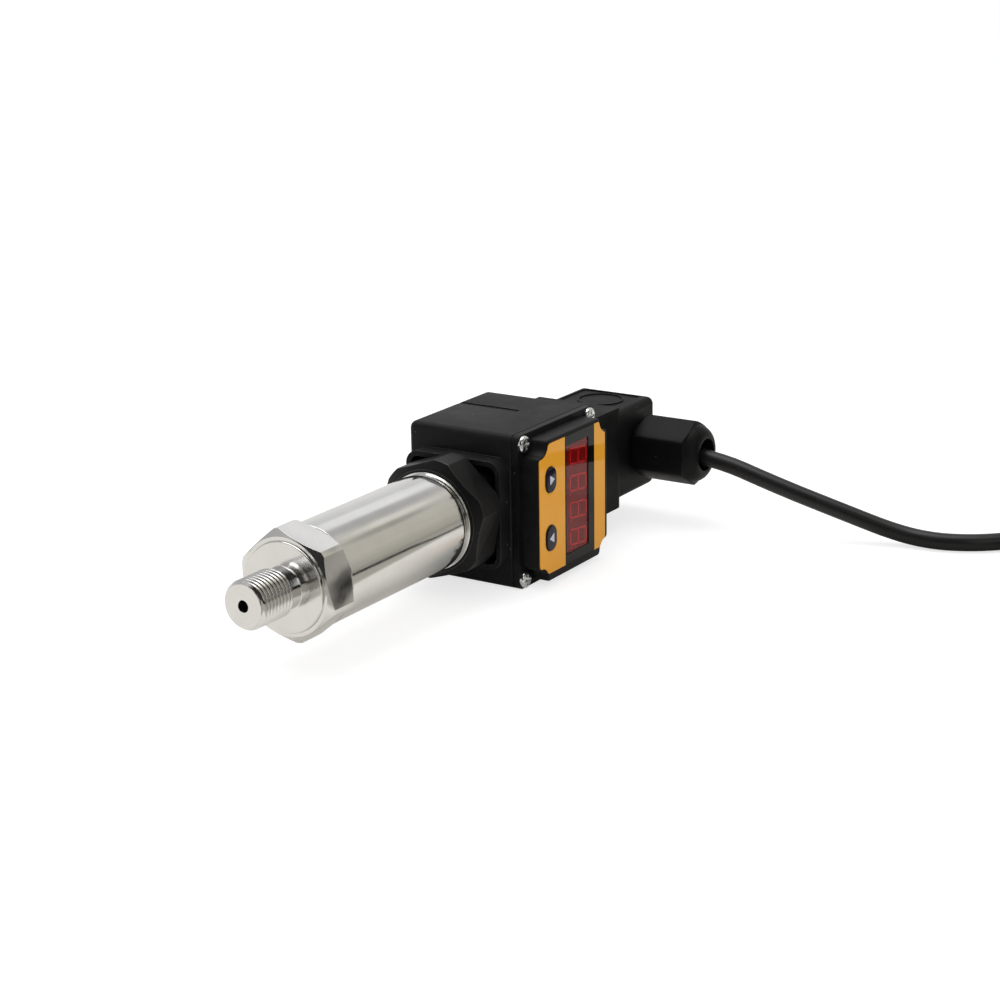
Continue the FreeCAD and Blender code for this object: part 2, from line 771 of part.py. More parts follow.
def lid_seal():
    """Thin frame seal between the housing's edge and the lid's rim."""
    half_x, half_z = module_length / 2 - lid_seal_inset, module_width / 2 - lid_seal_inset
    inner_x, inner_z = half_x - lid_seal_width, half_z - lid_seal_width
    frame = rounded_box(module_middle - half_x, module_middle + half_x, lid_inner, housing_front,
                        -half_z, half_z, Y_DIR, module_edge_rounding - lid_seal_inset)
    y0, y1 = lid_inner - past, housing_front + past
    frame = frame.cut(box(module_middle - inner_x, module_middle + inner_x, y0, y1, -inner_z, inner_z))
    for x, z in screw_places:
        frame = frame.cut(post(lid_screw_diameter / 2 + assembly_gap, y0, y1, x, z))
    return frame


def lid_screws():
    """Four pan-head screws in the lid's corners."""
    screws, top = [], lid_face - lid_screw_head_height
    for x, z in screw_places:
        head = post(lid_screw_head / 2, top, lid_face, x, z)
        head = rounded(head, lid_screw_head_rounding, lambda edge: edge.CenterOfMass.y < top + 1e-6)
        screws.append(joined(head, post(lid_screw_diameter / 2, lid_face, lid_screw_tip, x, z)))
    return group(screws)


def control_board():
    """Circuit board at the rear of the module."""
    half_x, half_z = control_board_length / 2, control_board_width / 2
    return box(module_middle - half_x, module_middle + half_x, control_board_front,
               control_board_front + board_thickness, -half_z, half_z)


def control_parts():
    """Processor, capacitors and choke on the control board."""
    front, x, half_chip, half_choke = control_board_front, module_middle, processor_side / 2, choke_side / 2
    processor = box(x - half_chip, x + half_chip, front - chip_height, front,
                    processor_z - half_chip, processor_z + half_chip)
    choke = box(x + choke_shift_x - half_choke, x + choke_shift_x + half_choke, front - choke_height, front,
                choke_z - half_choke, choke_z + half_choke)
    capacitors = [post(control_capacitor_diameter / 2, front - control_capacitor_height, front,
                       x + side * control_capacitor_shift_x, processor_z) for side in (-1, 1)]
    return group([processor, choke, *capacitors])


def board_header():
    """Pin header that joins the display board and the control board."""
    rear, front, z = display_board_front + board_thickness, control_board_front, header_middle_z
    half_pin, half_bar = header_pin_side / 2, header_bar_height / 2
    xs = row(header_pin_count, header_pin_pitch, module_middle + header_shift_x)
    bars = [box(xs[0] - half_bar, xs[-1] + half_bar, y, y + header_bar_height, z - half_bar, z + half_bar)
            for y in (rear, front - header_bar_height)]
    pins = [box(x - half_pin, x + half_pin, rear + past, front - past, z - half_pin, z + half_pin)
            for x in xs]
    return joined(bars[0], bars[1], *pins)


def contact_block(y, z, x0, x1, grow=0.0):
    """The outline of one socket, lying like its blade."""
    half_wide, half_thin = contact_width / 2 + grow, contact_depth / 2 + grow
    half_y, half_z = (half_wide, half_thin) if abs(z) > abs(y) else (half_thin, half_wide)
    return box(x0, x1, y - half_y, y + half_y, z - half_z, z + half_z)


def contact(y, z, x0):
    """A socket for one blade, its mouth towards the port."""
    x1 = x0 + contact_length
    return contact_block(y, z, x0, x1).cut(blade(y, z, x0 - past, x1 - contact_end_wall, contact_slot_gap))


def module_contacts():
    """Four sockets inside the module that take the base's blades."""
    start = module_start + module_wall
    return group([contact(y, z, start) for y, z in blade_places])


def module_blades():
    """Four blades through the module's neck for the cable plug."""
    start = module_end - module_wall - blade_tail
    return group([blade(y, z, start, neck_face_end + blade_reach) for y, z in blade_places])


# ================================================================ cable plug
def plug_housing():
    """Moulded angled plug: skirt and base, upper block, round pad, field and threaded gland boss."""
    half, base_half = plug_width / 2, plug_base_width / 2
    rear, front, base_front_y = plug_depth / 2, -plug_depth / 2, -plug_depth / 2 - plug_base_front
    base = box(plug_start, plug_shoulder, base_front_y, rear + plug_base_front, -base_half, base_half)
    base = rounded(base, plug_rounding, lambda edge: edge.CenterOfMass.x > plug_shoulder - 1e-6)
    block = box(plug_floor, plug_end, front, rear, -half, half)
    block = rounded(block, plug_edge_rounding,
                    lambda edge: edge.CenterOfMass.x > plug_end - 1e-6 or along(edge, X_DIR))
    pad = post(pad_diameter / 2, base_front_y - pad_height, base_front_y + past,
               plug_start + pad_diameter / 2, 0)
    body = joined(base, block, pad, gland_boss())
    face_half = plug_face_side / 2
    body = body.cut(square_post(plug_face_side + 2 * plug_face_gap, plug_start - past, plug_floor,
                                plug_face_rounding + plug_face_gap))
    body = body.cut(square_post(plug_face_side, plug_floor - past,
                                plug_floor + terminal_block_length + seat_gap, terminal_rounding))
    chamber = face_half - chamber_inset
    body = body.cut(box(plug_floor, plug_end - centre_screw_recess - plug_wall,
                        -chamber, chamber, -chamber, chamber))
    head_hole = rod(centre_screw_head / 2 + assembly_gap, plug_end - centre_screw_recess, plug_end + past)
    body = body.cut(head_hole)
    body = body.cut(rod(centre_screw_clear, plug_floor, plug_end + past))
    body = body.cut(to_gland(rod(gland_bore / 2, 0, gland_tip + past)))
    body = body.cut(to_gland(rod(grommet_diameter / 2 + slide_gap, grommet_start, gland_tip + past)))
    return emblem_field(body)


def emblem_field(body):
    """Cut the shallow field into the plug's upper flank and leave the round rim in it."""
    top, border = plug_width / 2, plug_field_border
    x0, x1 = plug_shoulder + border, plug_end - border
    y0, y1 = -plug_depth / 2 + plug_field_front_border, plug_depth / 2 - border
    field = rounded_box(x0, x1, y0, y1, top - plug_field_depth, top + past, Z_DIR, plug_field_rounding)
    middle = V((x0 + x1) / 2, 0, top - plug_field_depth)
    outer = plug_emblem_diameter / 2
    rim = Part.makeCylinder(outer, plug_field_depth, middle).cut(
        Part.makeCylinder(outer - plug_emblem_wall, plug_field_depth, middle))
    return body.cut(field.cut(rim))


def to_gland(shape):
    """Turn a solid that runs along +X so that it runs along -Y from the plug's middle."""
    turned = shape.copy()
    turned.rotate(V(0, 0, 0), Z_DIR, -90)
    turned.translate(V(gland_x, 0, 0))
    return turned


def gland_boss():
    """Round boss and threaded spigot that carry the gland nut."""
    start = plug_depth / 2 - plug_edge_rounding
    return to_gland(joined(rod(boss_diameter / 2, start, boss_face),
                           rod(gland_thread_diameter / 2, start, gland_tip)))


def terminal_block():
    """Insert with the sockets' pockets and the screw's passage."""
    x0, x1, pocket = plug_floor, plug_floor + terminal_block_length, plug_floor + terminal_floor
    body = square_post(plug_face_side - 2 * assembly_gap, x0, x1, terminal_rounding)
    body = body.cut(rod(centre_screw_clear, x0 - past, x1 + past))
    for y, z in blade_places:
        body = body.cut(contact_block(y, z, pocket, x1 + past, assembly_gap))
        body = body.cut(blade(y, z, x0 - past, pocket + past, assembly_gap))
    return body


def plug_contacts():
    """Four sockets in the terminal block."""
    return group([contact(y, z, contact_start) for y, z in blade_places])


def terminal_screws():
    """Clamping screws above the sockets."""
    start = contact_start + contact_length + seat_gap
    return group([rod(terminal_screw_diameter / 2, start, start + terminal_screw_length, y, z)
                  for y, z in blade_places])


def centre_screw():
    """Long screw through the plug and the module into the base's insert."""
    head_front = plug_end - centre_screw_recess + centre_washer_thickness
    head_rear = head_front + centre_screw_head_height
    head = rod(centre_screw_head / 2, head_front, head_rear)
    half = centre_screw_slot_width / 2
    slot = box(head_rear - centre_screw_slot_depth, head_rear + past,
               -centre_screw_head, centre_screw_head, -half, half)
    shank = rod(centre_screw_diameter / 2, face_end - nut_insert_length + centre_screw_tip_gap, head_front)
    return joined(head, shank).cut(slot)


def centre_washer():
    """Sealing washer under the long screw's head."""
    front = plug_end - centre_screw_recess
    return ring(centre_screw_head / 2, centre_screw_diameter / 2 + slide_gap, front,
                front + centre_washer_thickness)


# ================================================================ cable gland
def gland_grommet():
    """Rubber sleeve that grips the cable in the spigot's mouth."""
    return to_gland(ring(grommet_diameter / 2, cable_diameter / 2 + slide_gap, grommet_start,
                         grommet_start + grommet_length))


def gland_washer():
    """Thrust washer between the grommet and the nut."""
    return to_gland(ring(grommet_diameter / 2, cable_diameter / 2 + washer_play, washer_start,
                         washer_start + washer_thickness))


def gland_nut():
    """Domed hexagonal cap nut with a wide mouth for the cable."""
    shoulder = nut_start + nut_length
    end = shoulder + nut_dome
    body = turned_hexagon(nut_flats, nut_corner_diameter, nut_start, shoulder, nut_turn,
                          nut_flats - 2 * nut_chamfer, nut_chamfer_angle, True)
    edge, mouth = nut_flats / 2 - nut_chamfer, nut_mouth / 2
    lip = mouth + nut_lip
    crown = V(shoulder + nut_dome * nut_dome_fullness, 0, (edge + lip + nut_lip) / 2)
    arc = Part.Arc(V(shoulder, 0, edge), crown, V(end, 0, lip)).toShape()
    corners_of_dome = [V(end, 0, lip), V(end, 0, mouth), V(shoulder - past, 0, mouth),
                       V(shoulder - past, 0, edge), V(shoulder, 0, edge)]
    outline = Part.Wire([arc, Part.makePolygon(corners_of_dome)])
    body = joined(body, Part.Face(outline).revolve(V(0, 0, 0), X_DIR, 360))
    body = body.cut(rod(gland_thread_diameter / 2 + slide_gap, nut_start - past, nut_floor))
    return to_gland(body.cut(rod(mouth, nut_start, end + past)))


# ================================================================ signal cable
rest_level = -module_width / 2
lay_level = rest_level + cable_diameter / 2
coil_middle = V(199.1, -164.0, rest_level)
cable_route = [
    V(gland_x, -cable_grip, 0), V(gland_x, -36.0, 0), V(179.1, -58.7, -6.9), V(183.1, -76.4, -12.7),
    V(188.5, -92.0, -18.6), V(189.5, -103.5, lay_level), V(193.5, -113.8, lay_level),
    V(200.1, -121.5, lay_level), V(206.7, -126.5, lay_level),
]


def tangent_path(points):
    """Straight runs joined by tangent arcs, each as large as its two runs allow."""
    edges, start, radii = [], points[0], []
    for before, corner, after in zip(points, points[1:], points[2:]):
        run_in, run_out = corner - before, after - corner
        turn = run_in.getAngle(run_out)
        setback = 0.45 * min(run_in.Length, run_out.Length)
        radius = setback / math.tan(turn / 2)
        radii.append(radius)
        toward, away = V(run_in).normalize(), V(run_out).normalize()
        first, last = corner - toward * setback, corner + away * setback
        bisector = (away - toward).normalize()
        middle = corner + bisector * (radius / math.cos(turn / 2) - radius)
        edges.append(Part.makeLine(start, first))
        edges.append(Part.Arc(first, middle, last).toShape())
        start = last
    edges.append(Part.makeLine(start, points[-1]))
    return Part.Wire(edges), radii


def swept(route, diameter, name):
    """A round cord along a route, with its arcs' radii printed."""
    path, radii = tangent_path(route)
    section = Part.Wire(Part.makeCircle(diameter / 2, route[0], route[1] - route[0]))
    cord = path.makePipeShell([section], True, False)
    ratio = cord.Volume / (math.pi * diameter ** 2 / 4 * path.Length)
    print(f"{name}: radii {[round(radius, 1) for radius in radii]}, length {path.Length:.1f}, "
          f"volume ratio {ratio:.5f}")
    return cord


def signal_cable():
    """The cable's stretch from the gland to its coil."""
    return swept(cable_route, cable_diameter, "cable")


def cable_cores():
    """The two stripped cores, from the sheath's end to the signal terminals."""
    end = contact_start + contact_length + seat_gap
    beside_screw = -(terminal_screw_diameter + core_diameter) / 2 - slide_gap
    cores = []
    for side in (-1, 1):
        terminal_z = side * blade_offset
        cores.append(swept([
            V(gland_x, -cable_grip, side * core_side), V(gland_x, -core_bend_depth, side * core_side),
            V((gland_x + end + terminal_screw_length) / 2, beside_screw, terminal_z),
            V(end, beside_screw, terminal_z)], core_diameter, "core"))
    return group(cores)


def cable_coil():
    """Outer shape of the put-away turns: three beside each other and two nested on top."""
    across = coil_turns_across * cable_diameter / 2
    height = cable_diameter * (1 + (coil_layers - 1) * math.sin(math.radians(60)))
    return Part.makeCylinder(coil_radius + across, height, coil_middle).cut(
        Part.makeCylinder(coil_radius - across, height, coil_middle))


# ================================================================ output
NODES = {
    "pressure_port": pressure_port, "sensor_cell": sensor_cell, "cell_o_ring": cell_o_ring,
    "cell_retaining_ring": cell_retaining_ring, "body_tube": body_tube, "tube_end_ring": tube_end_ring,
    "board_carrier": board_carrier, "amplifier_board": amplifier_board, "amplifier_parts": amplifier_parts,
    "link_header": link_header, "connector_base": connector_base, "base_o_ring": base_o_ring,
    "base_blades": base_blades, "base_nut": base_nut, "base_gasket": lambda: gasket(face_end),
    "display_housing": display_housing, "display_lid": display_lid, "lid_seal": lid_seal,
    "lid_screws": lid_screws,
    "front_label": front_label, "display_window": display_window, "digit_block": digit_block,
    "display_board": display_board, "key_switches": key_switches,
    "up_key": lambda: key_cap(key_places["up_key"]), "down_key": lambda: key_cap(key_places["down_key"]),
    "control_board": control_board, "control_parts": control_parts, "board_header": board_header,
    "module_contacts": module_contacts, "module_blades": module_blades,
    "plug_gasket": lambda: gasket(neck_face_end), "plug_housing": plug_housing,
    "terminal_block": terminal_block, "plug_contacts": plug_contacts, "terminal_screws": terminal_screws,
    "centre_screw": centre_screw, "centre_washer": centre_washer, "gland_grommet": gland_grommet,
    "gland_washer": gland_washer, "gland_nut": gland_nut, "cable_cores": cable_cores,
    "signal_cable": signal_cable, "cable_coil": cable_coil,
}


def main():
    """Build every node and write its STEP file."""
    os.makedirs("parts", exist_ok=True)
    for name, build in NODES.items():
        shape = build()
        solids = shape.Solids
        if not shape.isValid() or not solids:
            raise ValueError(f"{name} is not a valid solid")
        if len(solids) == 1:
            shape = solids[0]
        shape.exportStep(f"parts/{name}.step")
        print(f"{name}: {len(solids)} solid(s), {shape.Volume:.1f} mm3")


main()
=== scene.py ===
"""Looks of a plug-on pressure transmitter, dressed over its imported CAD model.

Sizes are dataclass fields in millimetres, in the CAD model's frame: X runs from the port to the
cable plug, -Y is the display's side and Z is up. Meshes are written in metres.
"""

import logging
import math
from dataclasses import dataclass, field, replace
from enum import Enum
from typing import Sequence

import bmesh
import bpy
import numpy as np
from mathutils import Matrix, Vector


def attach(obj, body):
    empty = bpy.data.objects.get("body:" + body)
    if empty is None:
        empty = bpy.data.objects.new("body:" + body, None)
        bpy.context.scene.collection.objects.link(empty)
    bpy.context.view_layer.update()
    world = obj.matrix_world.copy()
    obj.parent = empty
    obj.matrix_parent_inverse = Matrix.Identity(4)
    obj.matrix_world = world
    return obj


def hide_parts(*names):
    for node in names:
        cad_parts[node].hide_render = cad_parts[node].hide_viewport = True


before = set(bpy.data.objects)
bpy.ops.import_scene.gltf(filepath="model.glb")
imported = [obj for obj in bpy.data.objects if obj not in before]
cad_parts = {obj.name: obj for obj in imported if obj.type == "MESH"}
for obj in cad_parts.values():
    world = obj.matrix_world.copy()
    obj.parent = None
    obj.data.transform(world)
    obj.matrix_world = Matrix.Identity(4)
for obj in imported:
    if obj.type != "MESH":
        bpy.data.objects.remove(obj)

MM = 0.001
TRANSMITTER = "transmitter"
BROKEN_EDGES = "broken_edges"
Colour = tuple[float, float, float]
Triple = tuple[float, float, float]
Pair = tuple[float, float]
Piece = bpy.types.Object
Material = bpy.types.Material
Socket = bpy.types.NodeSocket
log = logging.getLogger("transmitter_looks")


# ------------------------------------------------------------------ surfaces on a grid
def grid_quads(rows: int, columns: int, around: bool, closed: bool) -> np.ndarray:
    """Number the quads of a grid of points, row after row.

    Args:
        rows: Number of rows of points.
        columns: Number of points in each row.
        around: Whether the last column joins the first.
        closed: Whether the last row joins the first.

    Returns:
        One line of four point numbers for each quad.
    """
    row = np.arange(rows if closed else rows - 1)[:, None]
    column = np.arange(columns if around else columns - 1)[None, :]
    next_row, next_column = (row + 1) % rows, (column + 1) % columns
    corners = (row * columns + column, row * columns + next_column,
               next_row * columns + next_column, next_row * columns + column)
    return np.stack([np.broadcast_to(c, (row.size, column.size)) for c in corners], -1).reshape(-1, 4)


def soften(profile: Sequence[tuple], closed: bool, steps: int = 4) -> np.ndarray:
    """Round the corners of an outline that may differ from column to column.

    Each corner gives way to a quadratic curve that starts one setback before it and ends one
    setback after it, with the corner as its middle control point.

    Args:
        profile: Corners as (place along the axis, radius, setback); the first two may be arrays.
        closed: Whether the outline returns to its first corner.
        steps: Spans of each rounded corner.

    Returns:
        An array of rows x columns x 2 with the place along the axis and the radius.
    """
    columns = max(np.size(value) for corner in profile for value in corner[:2])
    points = np.array([[np.broadcast_to(value, columns) for value in corner[:2]] for corner in profile])
    points = np.moveaxis(points.astype(float), 1, 2)
    count, rows = len(profile), []
    for index, corner in enumerate(profile):
        here, setback = points[index], corner[2]
        inner = closed or 0 < index < count - 1
        if not setback or not inner:
            rows.append(here[None])
            continue
        before, after = points[index - 1] - here, points[(index + 1) % count] - here
        start = here + before / np.linalg.norm(before, axis=-1, keepdims=True) * setback
        end = here + after / np.linalg.norm(after, axis=-1, keepdims=True) * setback
        t = np.linspace(0, 1, steps + 1)[:, None, None]
        rows.append((1 - t) ** 2 * start + 2 * t * (1 - t) * here + t ** 2 * end)
    return np.concatenate(rows)


@dataclass(frozen=True)
class Axis:
    """A turning axis with the direction that its angles start from.

    Attributes:
        origin: A point on the axis, in millimetres.
        along: Direction of the axis.
        first: Direction of angle 0.
        second: Direction of angle 90 degrees.
    """

    origin: Triple = (0.0, 0.0, 0.0)
    along: Triple = (1.0, 0.0, 0.0)
    first: Triple = (0.0, 1.0, 0.0)
    second: Triple = (0.0, 0.0, 1.0)

    def turn(self, outline: np.ndarray, angles: np.ndarray) -> np.ndarray:
        """Carry an outline round the axis: place along it, plus radius times the angle's direction.

        Args:
            outline: Rows x columns x 2 with the place along the axis and the radius.
            angles: The columns' angles in radians.

        Returns:
            Rows x columns x 3 points.
        """
        spokes = (np.cos(angles)[:, None] * np.array(self.first)
                  + np.sin(angles)[:, None] * np.array(self.second))
        places = np.array(self.origin) + outline[..., :1] * np.array(self.along)
        return places + outline[..., 1:] * spokes


PORT_AXIS = Axis()


@dataclass(frozen=True)
class TurnedHexagon:
    """A hexagonal bar whose corners were turned round on a lathe.

    Attributes:
        flats: Width across the flats.
        corners: Diameter that the corners are turned to.
        turn: Angle of the first corner, in degrees.
        circle: Diameter of the circle where the end chamfers start.
        chamfer: Angle of the chamfers from the end face, in degrees.
        blend: How softly flats and corners run into each other, in millimetres.
    """

    flats: float
    corners: float
    turn: float
    circle: float
    chamfer: float
    blend: float = 0.0

    def angles(self, even: int) -> np.ndarray:
        """Give evenly spread angles, with the exact ones where flats meet turned corners.

        Args:
            even: Number of evenly spread angles.

        Returns:
            Angles in radians, rising, over one turn.
        """
        half = math.degrees(math.acos(self.flats / self.corners))
        middles = self.turn + 30 + 60 * np.arange(6)
        exact = np.concatenate([middles - half, middles + half])
        degrees = np.concatenate([np.arange(even) * 360 / even, exact]) % 360
        return np.radians(np.unique(np.round(degrees, 6)))

    def radius(self, angles: np.ndarray) -> np.ndarray:
        """Give the radius: half the flats over the cosine from a flat's middle, cut at the corners.

        A blend rounds the cut: it takes off how far the two radii come within the blend of each
        other, squared, over four times the blend.

        Args:
            angles: Angles in radians.

        Returns:
            The radius at each angle.
        """
        from_middle = (np.degrees(angles) - self.turn) % 60 - 30
        flat = self.flats / 2 / np.cos(np.radians(from_middle))
        lesser = np.minimum(flat, self.corners / 2)
        if self.blend:
            close = np.maximum(self.blend - np.abs(flat - self.corners / 2), 0)
            lesser = lesser - close ** 2 / (4 * self.blend)
        return lesser

    def run(self, angles: np.ndarray) -> np.ndarray:
        """Give the chamfer's length: how far the outline passes the circle, times the slope."""
        return (self.radius(angles) - self.circle / 2) * math.tan(math.radians(self.chamfer))


# ------------------------------------------------------------------ meshes and pieces
def tidy_mesh(mesh: bpy.types.Mesh, merge: float, crease: float) -> None:
    """Merge doubles, point the faces outwards and shade smooth up to an angle.

    Args:
        mesh: Mesh in metres.
        merge: Greatest distance between merged points, in metres.
        crease: Angle in degrees from which an edge stays sharp.
    """
    work = bmesh.new()
    work.from_mesh(mesh)
    bmesh.ops.remove_doubles(work, verts=work.verts, dist=merge)
    bmesh.ops.dissolve_degenerate(work, edges=work.edges, dist=merge)
    bmesh.ops.recalc_face_normals(work, faces=work.faces)
    if work.calc_volume(signed=True) < 0:
        bmesh.ops.reverse_faces(work, faces=work.faces)
    work.to_mesh(mesh)
    work.free()
    mesh.shade_smooth()
    mesh.set_sharp_from_angle(angle=math.radians(crease))


def placed(name: str, data: bpy.types.ID) -> Piece:
    """Make an object and put it into the scene.

    Args:
        name: Name of the object.
        data: Its mesh, curve, light or camera.

    Returns:
        The new object.
    """
    made = bpy.data.objects.new(name, data)
    bpy.context.scene.collection.objects.link(made)
    return made


def piece_from(name: str, points: np.ndarray, faces: np.ndarray,
               crease: float = 30.0) -> Piece:
    """Make a piece from points in millimetres and faces with the same number of corners.

    Args:
        name: Name of the piece.
        points: Points, in any shape that ends in three numbers.
        faces: Point numbers, one line for each face.
        crease: Angle in degrees from which an edge stays sharp.

    Returns:
        The new object, at the origin.
    """
    mesh = bpy.data.meshes.new(name)
    flat, corners = (points.reshape(-1, 3) * MM).astype(np.float32), faces.shape[1]
    mesh.vertices.add(len(flat))
    mesh.vertices.foreach_set("co", flat.ravel())
    mesh.loops.add(faces.size)
    mesh.loops.foreach_set("vertex_index", faces.astype(np.int32).ravel())
    mesh.polygons.add(len(faces))
    mesh.polygons.foreach_set("loop_start", np.arange(0, faces.size, corners, dtype=np.int32))
    mesh.update(calc_edges=True)
    mesh.validate()
    tidy_mesh(mesh, 1e-7, crease)
    return placed(name, mesh)


def join_grids(grids: Sequence[tuple[np.ndarray, np.ndarray]]) -> tuple[np.ndarray, np.ndarray]:
    """Put several surfaces into one list of points and one list of quads.

    Args:
        grids: Pairs of points and quads.

    Returns:
        All points, and all quads renumbered to them.
    """
    sizes = [points.reshape(-1, 3).shape[0] for points, _ in grids]
    starts = np.concatenate([[0], np.cumsum(sizes)[:-1]])
    return (np.concatenate([points.reshape(-1, 3) for points, _ in grids]),
            np.concatenate([quads + start for (_, quads), start in zip(grids, starts)]))


def turned_piece(name: str, axis: Axis, parts: Sequence[np.ndarray], angles: np.ndarray,
                 crease: float = 30.0) -> Piece:
    """Turn a closed outline, which may change with the angle, into a solid round an axis.

    Args:
        name: Name of the piece.
        axis: The turning axis.
        parts: The outline's parts in order, each as rows x columns x 2 with place and radius; a
            part with one column holds for all angles.
        angles: The columns' angles in radians.
        crease: Angle in degrees from which an edge stays sharp.

    Returns:
        The new object.
    """
    outline = np.concatenate([np.broadcast_to(part, (len(part), len(angles), 2)) for part in parts])
    points = axis.turn(outline, angles)
    quads = grid_quads(len(points), len(angles), around=True, closed=True)
    return piece_from(name, points, quads, crease)


def plates(name: str, outlines: np.ndarray, front: float, rear: float) -> Piece:
    """Make flat plates that face -Y: each outline at the front and at the rear, joined by its rim.

    Args:
        name: Name of the piece.
        outlines: Plates x corners x 2 with X and Z in millimetres.
        front: Y of the front faces.
        rear: Y of the rear faces.

    Returns:
        The new object.
    """
    count, corners = outlines.shape[:2]
    levels = np.array([front, rear])
    points = np.empty((count, 2, corners, 3))
    points[..., 0], points[..., 2] = outlines[:, None, :, 0], outlines[:, None, :, 1]
    points[..., 1] = levels[None, :, None]
    start = np.arange(count)[:, None] * 2 * corners
    here, after = np.arange(corners), (np.arange(corners) + 1) % corners
    rims = np.stack([here, after, after + corners, here + corners], -1)
    faces = [(start + here).tolist(), (start + here[::-1] + corners).tolist(),
             (start[:, :, None] + rims).reshape(-1, 4).tolist()]
    mesh = bpy.data.meshes.new(name)
    mesh.from_pydata((points.reshape(-1, 3) * MM).tolist(), [], faces[0] + faces[1] + faces[2])
    tidy_mesh(mesh, 1e-8, 30.0)
    return placed(name, mesh)


def moulded_copy(node: str, name: str, edge: float, steps: int = 3,
                 crease: float = 28.0) -> Piece:
    """Copy a CAD node, merge its loose triangles and break its sharp edges with a bevel.

    Args:
        node: Name of the CAD node.
        name: Name of the new piece.
        edge: Width of the broken edges, in millimetres.
        steps: Segments of the bevel.
        crease: Angle in degrees from which an edge is broken.

    Returns:
        The new object, which stands for the node.
    """
    work = bmesh.new()
    work.from_mesh(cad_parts[node].data)
    bmesh.ops.remove_doubles(work, verts=work.verts, dist=2e-6)
    bmesh.ops.dissolve_limit(work, angle_limit=math.radians(0.3), verts=work.verts, edges=work.edges)
    mesh = bpy.data.meshes.new(name)
    work.to_mesh(mesh)
    work.free()
    mesh.shade_smooth()
    mesh.set_sharp_from_angle(angle=math.radians(crease + 5))
    piece = placed(name, mesh)
    bevel = piece.modifiers.new(BROKEN_EDGES, "BEVEL")
    bevel.width, bevel.segments = edge * MM, steps
    bevel.limit_method, bevel.angle_limit = "ANGLE", math.radians(crease)
    bevel.use_clamp_overlap, bevel.harden_normals = True, True
    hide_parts(node)
    return piece


